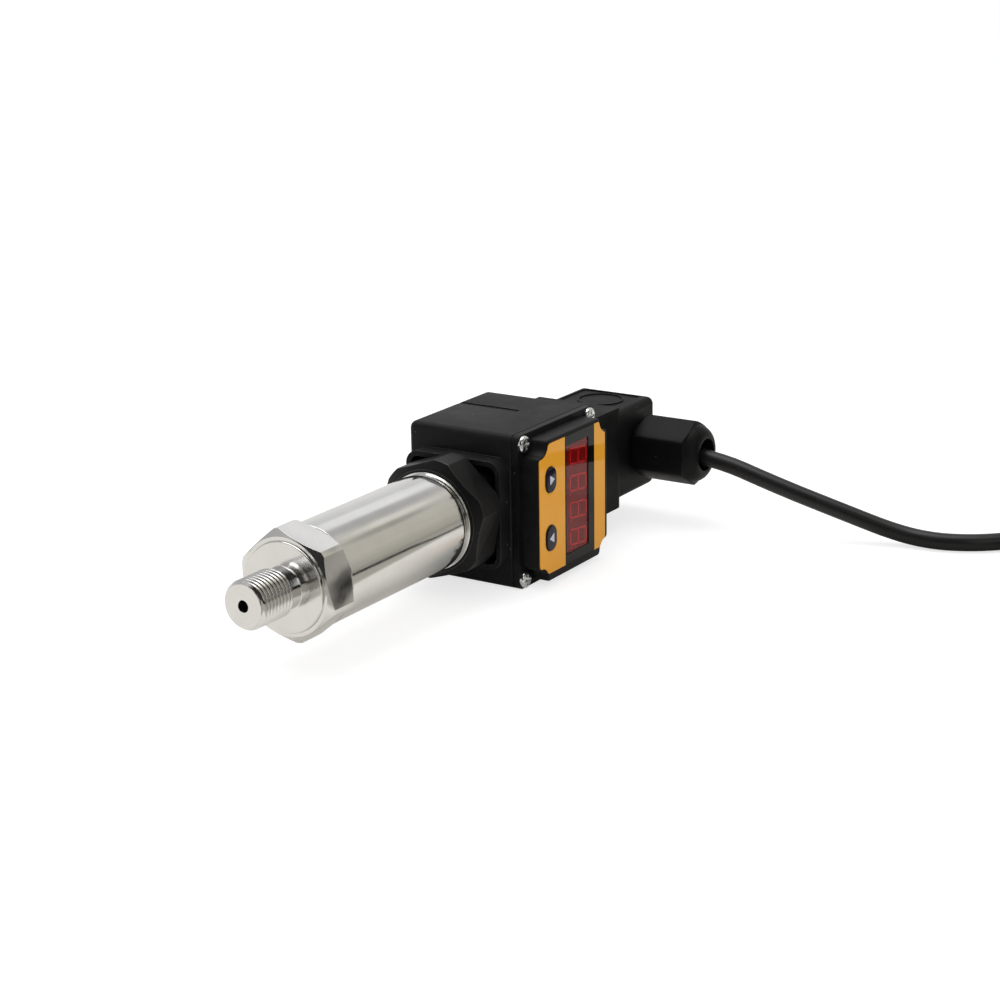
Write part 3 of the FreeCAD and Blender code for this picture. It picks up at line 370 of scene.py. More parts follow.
# ------------------------------------------------------------------ finishes
class Wiring:
    """A material's node tree, with short ways to add to it."""

    def __init__(self, name: str) -> None:
        """Start a material with one Principled shader.

        Args:
            name: Name of the material.
        """
        self.material = bpy.data.materials.new(name)
        self.material.use_nodes = True
        self.tree = self.material.node_tree
        self.shader = next(n for n in self.tree.nodes if n.type == "BSDF_PRINCIPLED")
        self.place = self.tree.nodes.new("ShaderNodeTexCoord").outputs["Object"]

    def add(self, kind: str, values: dict, **options: object) -> bpy.types.Node:
        """Add a node.

        Args:
            kind: Blender's name of the node type.
            values: Socket name or number to a value or to another node's output.
            options: The node's own settings.

        Returns:
            The new node.
        """
        node = self.tree.nodes.new(kind)
        for option, value in options.items():
            setattr(node, option, value)
        for socket, value in values.items():
            self.plug(node.inputs[socket], value)
        return node

    def plug(self, socket: Socket, value: object) -> None:
        """Link an output to a socket, or write a plain value into it.

        Args:
            socket: The input.
            value: Another node's output, a number, or a colour without its alpha.
        """
        if isinstance(value, Socket):
            self.tree.links.new(value, socket)
        elif isinstance(value, tuple) and len(value) == 3 and socket.type == "RGBA":
            socket.default_value = (*value, 1.0)
        else:
            socket.default_value = value

    def shade(self, **values: object) -> None:
        """Set the shader's sockets; underscores stand for the spaces in their names."""
        for socket, value in values.items():
            self.plug(self.shader.inputs[socket.replace("_", " ")], value)

    def stretched(self, scale: Triple, where: Socket | None = None) -> Socket:
        """Give coordinates stretched along each axis."""
        values = {"Vector": where or self.place, "Scale": scale}
        return self.add("ShaderNodeMapping", values).outputs[0]

    def ring_place(self) -> Socket:
        """Give coordinates for marks round the X axis.

        Returns:
            The place along the axis as X and the distance from it as Y.
        """
        parts = self.add("ShaderNodeSeparateXYZ", {0: self.place}).outputs
        flat = self.add("ShaderNodeCombineXYZ", {1: parts[1], 2: parts[2]}).outputs[0]
        radius = self.add("ShaderNodeVectorMath", {0: flat}, operation="LENGTH").outputs["Value"]
        return self.add("ShaderNodeCombineXYZ", {0: parts[0], 1: radius}).outputs[0]

    def noise(self, scale: float, detail: float = 3.0, where: Socket | None = None,
              rough: float = 0.55) -> Socket:
        """Give fractal noise from 0 to 1."""
        values = {"Vector": where or self.place, "Scale": scale, "Detail": detail, "Roughness": rough}
        return self.add("ShaderNodeTexNoise", values).outputs[0]

    def cells(self, scale: float, where: Socket | None = None) -> Socket:
        """Give the distance to the nearest of scattered points, for specks and pits."""
        values = {"Vector": where or self.place, "Scale": scale}
        return self.add("ShaderNodeTexVoronoi", values).outputs[0]

    def remap(self, value: Socket, low: float, high: float, to_low: float = 0.0,
              to_high: float = 1.0) -> Socket:
        """Carry a span of values to another, and hold its ends."""
        spans = {0: value, 1: low, 2: high, 3: to_low, 4: to_high}
        return self.add("ShaderNodeMapRange", spans).outputs[0]

    def maths(self, operation: str, first: object, second: object = 0.0) -> Socket:
        """Combine two numbers."""
        return self.add("ShaderNodeMath", {0: first, 1: second}, operation=operation).outputs[0]

    def between(self, share: Socket, first: object, second: object) -> Socket:
        """Give a number that goes from the first to the second with a share."""
        rest = self.maths("MULTIPLY", first, self.maths("SUBTRACT", 1.0, share))
        return self.maths("ADD", rest, self.maths("MULTIPLY", second, share))

    def mix(self, factor: object, first: object, second: object) -> Socket:
        """Mix two colours."""
        return self.add("ShaderNodeMix", {0: factor, 6: first, 7: second}, data_type="RGBA").outputs[2]

    def lit(self, colour: object, glow: object, strength: float) -> Socket:
        """Give a matt shader that glows as well.

        Args:
            colour: Colour of the matt surface.
            glow: Colour of the glow.
            strength: Strength of the glow.

        Returns:
            The shader.
        """
        matt = self.add("ShaderNodeBsdfDiffuse", {"Color": colour}).outputs[0]
        light = self.add("ShaderNodeEmission", {"Color": glow, "Strength": strength}).outputs[0]
        return self.add("ShaderNodeAddShader", {0: matt, 1: light}).outputs[0]

    def bump(self, height: Socket, strength: float, depth: float) -> Socket:
        """Give normals for a height of the given depth in millimetres."""
        values = {"Height": height, "Strength": strength, "Distance": depth * MM}
        return self.add("ShaderNodeBump", values).outputs[0]


class WorldWiring(Wiring):
    """A world's node tree, emptied, with the same short ways to add to it."""

    def __init__(self, name: str) -> None:
        """Start a world and make it the scene's.

        Args:
            name: Name of the world.
        """
        world = bpy.data.worlds.new(name)
        bpy.context.scene.world = world
        world.use_nodes = True
        self.tree = world.node_tree
        self.tree.nodes.clear()


def tinted(colour: Colour, factor: float) -> Colour:
    """Give a lighter or darker shade of a colour."""
    return tuple(min(1.0, part * factor) for part in colour)


class Marks(Enum):
    """Which way the fine marks of a metal surface run."""

    ROUND = "round the axis, from turning"
    ALONG = "along the axis, from drawing"
    NONE = "polished or pressed"


@dataclass(frozen=True)
class Finish:
    """The look of a surface.

    Attributes:
        name: Name of the material.
    """

    name: str

    def wire(self, w: Wiring) -> None:
        """Wire the look; each kind of finish has its own way."""
        raise NotImplementedError

    def material(self) -> Material:
        """Make a material with this look.

        Returns:
            The material.
        """
        w = Wiring(self.name)
        self.wire(w)
        return w.material


@dataclass(frozen=True)
class MetalFinish(Finish):
    """Bare or plated metal with tool marks.

    Attributes:
        colour: Colour at normal incidence.
        roughness: Middle roughness.
        marks: Which way the tool marks run.
        mark_depth: Depth of the marks, in micrometres.
        stain: Darker share of the cloudy variation.
    """

    colour: Colour
    roughness: float
    marks: Marks = Marks.NONE
    mark_depth: float = 1.0
    stain: float = 0.12

    def wire(self, w: Wiring) -> None:
        """Wire stretched noise for tool marks, cloudy noise for stains and smears.

        Args:
            w: The material's wiring.
        """
        if self.marks is Marks.ROUND:
            lines = w.noise(1.0, 4, w.stretched((4200, 4200, 4200), w.ring_place()), 0.7)
        elif self.marks is Marks.ALONG:
            lines = w.noise(1.0, 4, w.stretched((14, 700, 700)), 0.6)
        else:
            lines = w.noise(2600, 2)
        clouds = w.noise(120, 4)
        shade = w.mix(w.remap(clouds, 0.35, 0.7), self.colour, tinted(self.colour, 1 - self.stain))
        shade = w.mix(w.remap(lines, 0.42, 0.78, 0.0, 0.6), shade,
                      tinted(self.colour, 1 - 2 * self.stain))
        smear = w.noise(300, 5)
        if self.marks is Marks.ROUND:
            w.shade(Anisotropic=0.9, Anisotropic_Rotation=0.25,
                    Tangent=w.add("ShaderNodeTangent", {}, direction_type="RADIAL", axis="X").outputs[0])
        w.shade(Base_Color=shade, Metallic=1.0,
                Roughness=w.remap(w.maths("ADD", smear, lines), 0.7, 1.3, self.roughness * 0.72,
                                  self.roughness * 1.35),
                Normal=w.bump(lines, 0.6, self.mark_depth * 0.001))


@dataclass(frozen=True)
class PlasticFinish(Finish):
    """Moulded plastic, rubber or a cable's sheath.

    Attributes:
        colour: Colour of the plastic.
        roughness: Middle roughness.
        grain: Size of the mould's grain, in millimetres.
        grain_depth: Depth of the grain, in micrometres.
        dust: Share of the surface that shows pale dust and scuffs.
        level: Specular level.
    """

    colour: Colour
    roughness: float
    grain: float = 0.16
    grain_depth: float = 6.0
    dust: float = 0.25
    level: float = 0.5

    def wire(self, w: Wiring) -> None:
        """Wire fine grain for bump, clouds for wear, scattered specks for dust.

        Args:
            w: The material's wiring.
        """
        grain = w.noise(1 / (self.grain * MM), 3)
        clouds = w.noise(150, 5, rough=0.62)
        worn = w.mix(w.remap(clouds, 0.42, 0.72, 0.0, 0.7), self.colour,
                     tuple(part + 0.012 * self.dust for part in self.colour))
        specks = w.remap(w.cells(330), 0.03, 0.065, 1.0, 0.0)
        patchy = w.remap(w.noise(70, 3), 0.44, 0.52)
        dusty = w.maths("MULTIPLY", w.maths("MULTIPLY", specks, patchy), self.dust)
        w.shade(Base_Color=w.mix(dusty, worn, (0.34, 0.33, 0.31)),
                Roughness=w.remap(w.maths("ADD", clouds, grain), 0.7, 1.35, self.roughness * 0.85,
                                  min(1.0, self.roughness * 1.18)),
                Specular_IOR_Level=self.level,
                Normal=w.bump(grain, 0.7, self.grain_depth * 0.001))

    def edge_polish_and_highlight(self) -> "PlasticFinish":
        """Give the finish of this plastic's edges: handling has polished them, and their paler colour is
        a painted highlight.

        Returns:
            The finish.
        """
        # Paler colour: painted highlight along the bevelled edges; the lower roughness and higher level
        # are the real polish.
        painted_highlight_colour = tuple(part + 0.016 for part in self.colour)
        return replace(self, name=self.name + "_edge", colour=painted_highlight_colour, roughness=0.24, grain_depth=2.0,
                       dust=0.1, level=0.9)


@dataclass(frozen=True)
class BoardFinish(Finish):
    """Solder-masked circuit board with faint tracks.

    Attributes:
        mask: Colour of the solder mask.
        track: Colour over the copper.
    """

    mask: Colour
    track: Colour

    def wire(self, w: Wiring) -> None:
        """Wire blocky cells for copper areas, seen as colour and as a low step.

        Args:
            w: The material's wiring.
        """
        copper = w.remap(w.cells(420, w.stretched((1.0, 1.0, 1.8))), 0.34, 0.38)
        holes = w.remap(w.cells(900), 0.1, 0.14)
        w.shade(Base_Color=w.mix(holes, (0.62, 0.5, 0.2), w.mix(copper, self.mask, self.track)),
                Roughness=w.remap(w.noise(900, 3), 0.3, 0.7, 0.28, 0.42), Coat_Weight=0.3,
                Normal=w.bump(copper, 0.5, 0.03))


@dataclass(frozen=True)
class LabelFinish(Finish):
    """Printed front label: an orange film with a dark field round the display.

    Attributes:
        film: Colour of the film.
        field: Colour of the dark field.
        field_x: Where the dark field starts and ends along X, in millimetres.
        field_z: Where the dark field's lower edge lies along Z, in millimetres.
    """

    film: Colour
    field: Colour
    field_x: Pair
    field_z: float

    def inside(self, w: Wiring, value: Socket, low: float, high: float) -> Socket:
        """Give 1 between two places and 0 outside them, with an edge of 0.04 mm.

        Args:
            w: The material's wiring.
            value: A coordinate in metres.
            low: The lower place, in millimetres.
            high: The upper place, in millimetres.

        Returns:
            The number from 0 to 1.
        """
        edge = 0.02 * MM
        rising = w.remap(value, low * MM - edge, low * MM + edge)
        falling = w.remap(value, high * MM - edge, high * MM + edge, 1.0, 0.0)
        return w.maths("MULTIPLY", rising, falling)

    def wire(self, w: Wiring) -> None:
        """Wire the field by its edges in X and Z, gloss with faint waves and scuffs.

        Args:
            w: The material's wiring.
        """
        parts = w.add("ShaderNodeSeparateXYZ", {0: w.place}).outputs
        dark = w.maths("MULTIPLY", self.inside(w, parts[0], *self.field_x),
                       self.inside(w, parts[2], self.field_z, 40.0))
        ink = w.mix(w.remap(w.noise(900, 4), 0.3, 0.75, 0.0, 0.3), self.film, tinted(self.film, 0.9))
        w.shade(Base_Color=w.mix(dark, ink, self.field),
                Roughness=w.remap(w.noise(500, 5), 0.35, 0.7, 0.03, 0.06), Specular_IOR_Level=0.17,
                Normal=w.bump(w.noise(90, 2), 0.4, 0.035))


@dataclass(frozen=True)
class FilterFinish(Finish):
    """Tinted see-through plastic.

    Attributes:
        tint: Colour of the plastic.
        cover: How much of what lies behind it is hidden.
    """

    tint: Colour
    cover: float

    def wire(self, w: Wiring) -> None:
        """Wire a glossy tinted surface that is partly see-through.

        Args:
            w: The material's wiring.
        """
        haze = w.noise(500, 4)
        w.shade(Base_Color=w.mix(w.remap(haze, 0.3, 0.75, 0.0, 0.5), self.tint, tinted(self.tint, 0.8)),
                Roughness=w.remap(haze, 0.3, 0.75, 0.03, 0.06), Alpha=self.cover, Specular_IOR_Level=0.5,
                Normal=w.bump(w.noise(90, 2), 0.4, 0.035))


@dataclass(frozen=True)
class SegmentFinish(Finish):
    """Diffuser of an unlit display segment, with a faint painted glow.

    Attributes:
        colour: Colour of the diffuser.
        glow: Strength of its painted glow, which stands in for the room light that reaches it through
            the filter.
    """

    colour: Colour
    glow: float

    def wire(self, w: Wiring) -> None:
        """Wire a milky surface with a faint even painted glow of its own colour.

        Args:
            w: The material's wiring.
        """
        milk_and_painted_glow = w.mix(w.remap(w.noise(1400, 3), 0.3, 0.7), self.colour, tinted(self.colour, 0.85))
        # The emission is a painted glow: the segments are unlit, and only room light through the filter
        # would show them.
        w.shade(Base_Color=milk_and_painted_glow, Emission_Color=milk_and_painted_glow, Emission_Strength=self.glow,
                Roughness=w.remap(w.noise(900, 2), 0.3, 0.7, 0.4, 0.55))


PORT_STEEL = MetalFinish("turned_port_steel", (0.755, 0.75, 0.735), 0.115, Marks.ROUND, 0.5, 0.06)
TUBE_STEEL = MetalFinish("drawn_tube_steel", (0.76, 0.755, 0.735), 0.10, Marks.ALONG, 0.8, 0.06)
RING_CHROME = MetalFinish("polished_ring", (0.84, 0.84, 0.83), 0.06, Marks.ROUND, 0.3, 0.05)
CELL_STEEL = MetalFinish("ground_cell_steel", (0.70, 0.70, 0.69), 0.3, Marks.ROUND, 2.0)
SCREW_STEEL = MetalFinish("plated_screw_steel", (0.80, 0.81, 0.82), 0.14, Marks.NONE, 1.0, 0.06)
BRASS = MetalFinish("stamped_brass", (0.78, 0.60, 0.30), 0.26, Marks.NONE, 2.0)
TINNED = MetalFinish("tinned_copper_strand", (0.77, 0.52, 0.38), 0.3, Marks.ALONG, 3.0)
SEAL_RUBBER = PlasticFinish("sealing_rubber", (0.010, 0.010, 0.0105), 0.62, 0.3, 8.0, 0.1, 0.3)
BASE_NYLON = PlasticFinish("moulded_base_nylon", (0.006, 0.006, 0.0065), 0.4, 0.25, 4.0, 0.2, 0.2)
MODULE_BLACK = PlasticFinish("moulded_module_black", (0.007, 0.007, 0.0078), 0.58, 0.14, 8.0, 0.8, 0.18)
LID_BLACK = PlasticFinish("moulded_lid_black", (0.006, 0.006, 0.0066), 0.5, 0.14, 7.0, 0.6, 0.16)
PLUG_BLACK = PlasticFinish("moulded_plug_black", (0.005, 0.005, 0.0056), 0.55, 0.16, 6.0, 0.4, 0.12)
GLAND_BLACK = PlasticFinish("moulded_gland_black", (0.005, 0.005, 0.0053), 0.45, 0.25, 4.0, 0.3, 0.12)
CABLE_BLACK = PlasticFinish("cable_sheath_black", (0.008, 0.008, 0.0088), 0.4, 0.4, 5.0, 0.2, 0.4)
CORE_GREY = PlasticFinish("core_insulation_grey", (0.42, 0.42, 0.41), 0.5, 0.3, 4.0, 0.1)
CARRIER_GREY = PlasticFinish("moulded_carrier_grey", (0.16, 0.16, 0.155), 0.55, 0.2, 6.0, 0.15)
TERMINAL_GREY = PlasticFinish("moulded_terminal_grey", (0.30, 0.30, 0.29), 0.55, 0.2, 6.0, 0.1)
DIGIT_RED = PlasticFinish("digit_block_face", (0.17, 0.012, 0.012), 0.5, 0.3, 3.0, 0.0, 0.3)
KEY_BLACK = PlasticFinish("glossy_key_black", (0.004, 0.005, 0.016), 0.1, 0.3, 1.5, 0.2, 0.25)
KEY_PRINT = PlasticFinish("key_print", (0.66, 0.66, 0.80), 0.4, 0.2, 3.0, 0.1)
# The segments' 0.85 is the strength of their painted glow.
SEGMENT_RED = SegmentFinish("unlit_segment_painted_glow", (0.95, 0.03, 0.03), 0.85)
CHIP_BLACK = PlasticFinish("chip_epoxy_black", (0.012, 0.012, 0.013), 0.55, 0.12, 5.0, 0.1)
TIE_BLACK = PlasticFinish("tie_nylon", (0.010, 0.010, 0.010), 0.36, 0.3, 5.0, 0.1)
BOARD_GREEN = BoardFinish("board_solder_mask", (0.015, 0.11, 0.045), (0.03, 0.19, 0.08))
WINDOW_RED = FilterFinish("red_filter", (0.24, 0.001, 0.001), 0.5)
LABEL = LabelFinish("front_film", (0.96, 0.43, 0.04), (0.002, 0.004, 0.0035), (113.0, 129.2), -19.0)

made_materials: dict[Finish, Material] = {}


def material_of(finish: Finish) -> Material:
    """Give a finish's material, made the first time it is asked for.

    Args:
        finish: The finish.

    Returns:
        The material.
    """
    if finish not in made_materials:
        made_materials[finish] = finish.material()
    return made_materials[finish]


def dress(piece: Piece, finish: Finish) -> None:
    """Give a piece or a CAD node one finish in place of what it has."""
    piece.data.materials.clear()
    piece.data.materials.append(material_of(finish))


def settle(piece: Piece, finish: Finish, body: str) -> Piece:
    """Dress a new piece, let it ride on its body and report it.

    Args:
        piece: The piece.
        finish: Its finish.
        body: The body that it rides on.

    Returns:
        The piece.
    """
    dress(piece, finish)
    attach(piece, body)
    log.info("%s rides on %s", piece.name, body)
    return piece


def settle_moulding(node: str, name: str, edge: float, finish: PlasticFinish) -> None:
    """Settle a moulded copy of a CAD node, with polished edges and a painted highlight on the faces of
    its bevel.

    Args:
        node: Name of the CAD node.
        name: Name of the new piece.
        edge: Width of the broken edges, in millimetres.
        finish: Its finish.
    """
    piece = settle(moulded_copy(node, name, edge), finish, TRANSMITTER)
    # The bevel's faces wear the edge finish, whose paler colour is a painted highlight.
    piece.data.materials.append(material_of(finish.edge_polish_and_highlight()))
    piece.modifiers[BROKEN_EDGES].material = 1


# ------------------------------------------------------------------ the cable
@dataclass
class SignalCable:
    """The cable from the gland to its put-away coil, with the coil's tie and stripped end.

    Attributes:
        diameter: Diameter of the sheath.
        route: Points of the CAD route, from inside the gland to the coil.
        coil_middle: Middle of the coil.
        entry_angle: Angle from +X where the cable meets the coil, in degrees.
        mean_radius: Radius of the middle turn.
        turns: Turns in the coil.
        steps: Control points for each turn.
        crossing: Share of a turn over which a turn steps to its neighbour's place.
        exit_place: Where the cable leaves the gland nut's mouth; not used.
        tie_play: How far the tie stands off the bundle.
        tie_thickness: Thickness of the tie.
        tie_width: Width of the tie.
        tie_squareness: Power of the rounded box that the tie's outline follows.
        tie_web: Share of its thickness that the tie keeps under the bundle.
        tie_angle: Angle from the cable's entry to the tie, in degrees.
        core: A stripped core's points, as distance past the sheath's end and sideways.
        core_radius: Radius of a core.
        strand: The same for the strand at a core's end.
        strand_radius: Radius of the strand.
    """

    diameter: float = 5.1
    route: tuple[Triple, ...] = (
        (177.7, -16.6, 0.0), (177.7, -36.0, 0.0), (179.1, -58.7, -6.9), (183.1, -76.4, -12.7),
        (188.5, -92.0, -18.6), (189.5, -103.5, -19.7), (193.5, -113.8, -19.7), (200.1, -121.5, -19.7),
        (206.7, -126.5, -19.7))
    coil_middle: Triple = (199.1, -164.0, -19.7)
    entry_angle: float = 48.7
    mean_radius: float = 28.0
    turns: float = 4.6
    steps: int = 24
    crossing: float = 0.4
    exit_place: Triple = (177.7, -35.0, 0.0)
    tie_play: float = 0.35
    tie_thickness: float = 0.9
    tie_width: float = 4.0
    tie_squareness: float = 3.2
    tie_web: float = 0.06
    tie_angle: float = -150.0
    core: tuple[Pair, ...] = ((-3.0, 0.95), (4.0, 0.95), (9.0, 1.6), (14.0, 2.2))
    core_radius: float = 0.75
    strand: tuple[Pair, ...] = ((13.0, 2.1), (16.0, 2.4), (19.0, 2.7))
    strand_radius: float = 0.42

    def coil(self) -> np.ndarray:
        """Wind the coil: three turns beside each other inwards, then two outwards in their grooves.

        Each turn keeps its radius, then steps by one diameter over the crossing. The third climbs
        round the turn beside it and the fourth rolls over two, always one diameter apart.

        Returns:
            Control points, one line each.
        """
        d = self.diameter
        progress = np.arange(0, self.turns + 1e-6, 1 / self.steps)
        turn, share = np.divmod(progress + 1e-9, 1.0)
        s = np.clip((share - 1 + self.crossing) / self.crossing, 0, 1)
        s = s * s * (3 - 2 * s)
        outer, middle = self.mean_radius + d - d * s, self.mean_radius - d * s
        climb, roll = np.radians(120 * s), np.radians(60 + 120 * np.where(s < 0.5, s, s - 0.5))
        rolled = np.where(s < 0.5, middle, outer) - d * np.cos(roll)
        radius = np.select([turn == 0, turn == 1, turn == 2, turn == 3],
                           [outer, middle, middle - d * np.cos(climb), rolled], self.mean_radius + d / 2)
        height = np.select([turn < 2, turn == 2, turn == 3],
                           [0 * s, d * np.sin(climb), d * np.sin(roll)], d * math.sin(math.radians(60)))
        angle = np.radians(self.entry_angle - 360 * progress)
        radius = radius / math.cos(math.pi / self.steps)
        x, y, z = self.coil_middle
        return np.stack([x + radius * np.cos(angle), y + radius * np.sin(angle), z + height], -1)

    def line(self, points: np.ndarray, name: str, radius: float) -> Piece:
        """Make a round cord along one open spline.

        Args:
            points: Control points in millimetres.
            name: Name of the piece.
            radius: Radius in millimetres.

        Returns:
            The curve object.
        """
        data = bpy.data.curves.new(name, "CURVE")
        data.dimensions, data.bevel_depth, data.bevel_resolution = "3D", radius * MM, 7
        data.resolution_u, data.use_fill_caps = 7, True
        spline = data.splines.new("NURBS")
        spline.points.add(len(points) - 1)
        four = np.concatenate([points * MM, np.ones((len(points), 1))], 1)
        spline.points.foreach_set("co", four.astype(np.float32).ravel())
        spline.order_u = 3
        spline.use_endpoint_u = True
        return placed(name, data)

    def tie(self) -> Piece:
        """Make the coil's tie: a flat band whose outline is a rounded box in the coil's section.

        The box's reach and rise are the cosine and the sine raised to two over its power. It is
        flat where it meets the floor, with a thin web under the bundle.

        Returns:
            The tie.
        """
        across, low = 1.5 * self.diameter + self.tie_play, -self.diameter / 2
        high = self.diameter * 1.5 + self.tie_play
        t = np.linspace(0, 2 * np.pi, 64, endpoint=False)
        power = 2 / self.tie_squareness
        reach = np.sign(np.cos(t)) * np.abs(np.cos(t)) ** power
        rise = np.sign(np.sin(t)) * np.abs(np.sin(t)) ** power
        middle, half = (low + high) / 2, (high - low) / 2
        side, thick = self.tie_width / 2, self.tie_thickness
        rim = []
        for y, grow in ((-side, 0.0), (-side, thick), (side, thick), (side, 0.0)):
            out = self.mean_radius + reach * (across + grow)
            up = np.maximum(middle + rise * (half + grow), low + self.tie_web * (thick - grow))
            rim.append(np.stack([out, np.full_like(t, y), up], -1))
        angle = math.radians(self.entry_angle + self.tie_angle)
        c, s = math.cos(angle), math.sin(angle)
        turned = np.array(rim) @ np.array([[c, s, 0], [-s, c, 0], [0, 0, 1]])
        quads = grid_quads(len(rim), len(t), around=True, closed=True)
        return piece_from("coil_tie", turned + self.coil_middle, quads, crease=35.0)

    def build(self) -> None:
        """Lay the cable, wind its coil, tie it and strip its end."""
        points = np.concatenate([np.array(self.route), self.coil()])
        cable = self.line(points, "signal_cable_line", self.diameter / 2)
        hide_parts("signal_cable", "cable_coil")
        settle(cable, CABLE_BLACK, TRANSMITTER)
        tie = settle(self.tie(), TIE_BLACK, TRANSMITTER)
        end, along = points[-1], points[-1] - points[-2]
        along = along / np.linalg.norm(along)
        side = np.cross(along, (0, 0, 1.0))
        parts = (("", self.core, self.core_radius, CORE_GREY, "core_insulation"),
                 ("_strand", self.strand, self.strand_radius, TINNED, "contact_brass"))
        for sign, name in ((1, "bare_core_a"), (-1, "bare_core_b")):
            for ending, places, radius, finish, slot in parts:
                reach = np.array(places)
                path = end + reach[:, :1] * along + sign * reach[:, 1:] * side
                settle(self.line(path, name + ending, radius), finish, TRANSMITTER)


# ------------------------------------------------------------------ steel port and tube
@dataclass
class PipePort:
    """Threaded process port with its sealing collar and hexagon.

    Attributes:
        end: Place of the stub's end face along X.
        bore: Diameter of the pressure bore.
        crest: Diameter over the thread's crests.
        root: Diameter at the thread's roots.
        pitch: Distance between crests.
        chamfer: Size of the chamfer on the stub's end.
        thread_end: Where the full thread ends.
        relief: Diameter of the relief behind the thread.
        collar: Place and diameter of the sealing collar.
        hexagon: The spanner hexagon.
        hex_span: Where the hexagon starts and ends.
        spigot: Where the weld spigot ends, and its diameter.
        pocket: Where the cell's pocket starts, and its diameter.
        rows_per_pitch: Rows of points for each pitch of the thread.
        flank: Angle of the thread's flanks from square to the axis, in degrees.
        arc: Radius of its crests and roots, as a share of the pitch.
        bore_edge: Chamfer of the bore.
        neck_fillet: Rounding between the relief and the collar.
        collar_edge: Rounding of the collar's edge.
        hex_edge: Rounding where flats and chamfers meet.
        steps: Small steps in the outline: from the end face to the thread, from the thread to the
            relief and from the collar to the hexagon.
        columns: Evenly spread columns of points round the axis.
    """

    end: float = -0.9
    bore: float = 3.15
    crest: float = 13.157
    root: float = 11.445
    pitch: float = 1.337
    chamfer: float = 0.9
    thread_end: float = 11.1
    relief: float = 11.2
    collar: Pair = (15.5, 24.4)
    hexagon: TurnedHexagon = TurnedHexagon(27.0, 30.3, 18.3, 26.4, 30.0)
    hex_span: Pair = (16.1, 26.3)
    spigot: Pair = (31.3, 24.5)
    pocket: Pair = (20.5, 19.6)
    rows_per_pitch: int = 30
    flank: float = 27.5
    arc: float = 0.137
    bore_edge: float = 0.08
    neck_fillet: float = 0.35
    collar_edge: float = 0.42
    hex_edge: float = 0.04
    steps: Triple = (0.12, 0.05, 0.02)
    columns: int = 180

    def thread(self, angles: np.ndarray) -> np.ndarray:
        """Cut the thread: its height follows a triangular wave of the place less one pitch a turn.

        The flanks are straight, circle arcs round the crests and the roots, and the end's chamfer
        and the run-out into the relief cut it.

        Args:
            angles: The columns' angles in radians.

        Returns:
            Rows x columns x 2 with place and radius.
        """
        crest, root, relief = self.crest / 2, self.root / 2, self.relief / 2
        run_out = self.thread_end + crest - relief
        rows = int((run_out - self.end) / self.pitch * self.rows_per_pitch)
        x = np.linspace(self.end, run_out, rows)[:, None] + 0 * angles[None, :]
        phase = (x / self.pitch - angles[None, :] / (2 * np.pi)) % 1.0
        wave = 1 - 4 * np.abs(phase - 0.5)
        arc, flank = self.arc * self.pitch, math.radians(90 - self.flank)
        from_tip = (1 - np.abs(wave)) * self.pitch / 4
        straight = (self.pitch / 4 - from_tip) * math.tan(flank)
        rounded = (crest - root) / 2 - arc + np.sqrt(np.maximum(arc ** 2 - from_tip ** 2, 0.0))
        height = np.sign(wave) * np.where(from_tip < arc * math.sin(flank), rounded, straight)
        radius = (crest + root) / 2 + height
        radius = np.minimum(radius, crest - self.chamfer + (x - self.end))
        return np.stack([x, np.minimum(radius, relief + run_out - x)], -1)

    def build(self) -> None:
        """Turn the port from one closed outline, thread and hexagon included."""
        angles = self.hexagon.angles(self.columns)
        outline_radius, run = self.hexagon.radius(angles), self.hexagon.run(angles)
        circle, relief, bore = self.hexagon.circle / 2, self.relief / 2, self.bore / 2
        (front, rear), (collar_face, collar) = self.hex_span, self.collar
        spigot_end, spigot = self.spigot[0], self.spigot[1] / 2
        pocket_floor, pocket = self.pocket[0], self.pocket[1] / 2
        face_step, relief_step, collar_step = self.steps
        nose = soften([(pocket_floor, bore, 0), (self.end + self.bore_edge, bore, 0),
                       (self.end, bore + self.bore_edge, 0),
                       (self.end, self.crest / 2 - self.chamfer - face_step, 0)], closed=False)
        body = soften([
            (self.thread_end + (self.crest - self.relief) / 2 + relief_step, relief, 0),
            (collar_face, relief, self.neck_fillet), (collar_face, collar / 2, self.collar_edge),
            (front - collar_step, collar / 2, 0), (front, collar / 2 + collar_step, 0),
            (front, circle, 0),
            (front + run, outline_radius, self.hex_edge), (rear - run, outline_radius, self.hex_edge),
            (rear, circle, 0), (rear, spigot, 0), (spigot_end, spigot, 0), (spigot_end, pocket, 0),
            (pocket_floor, pocket, 0)], closed=False)
        piece = turned_piece("port_body", PORT_AXIS, (nose, self.thread(angles), body), angles,
                             crease=24.0)
        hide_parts("pressure_port")
        settle(piece, PORT_STEEL, TRANSMITTER)


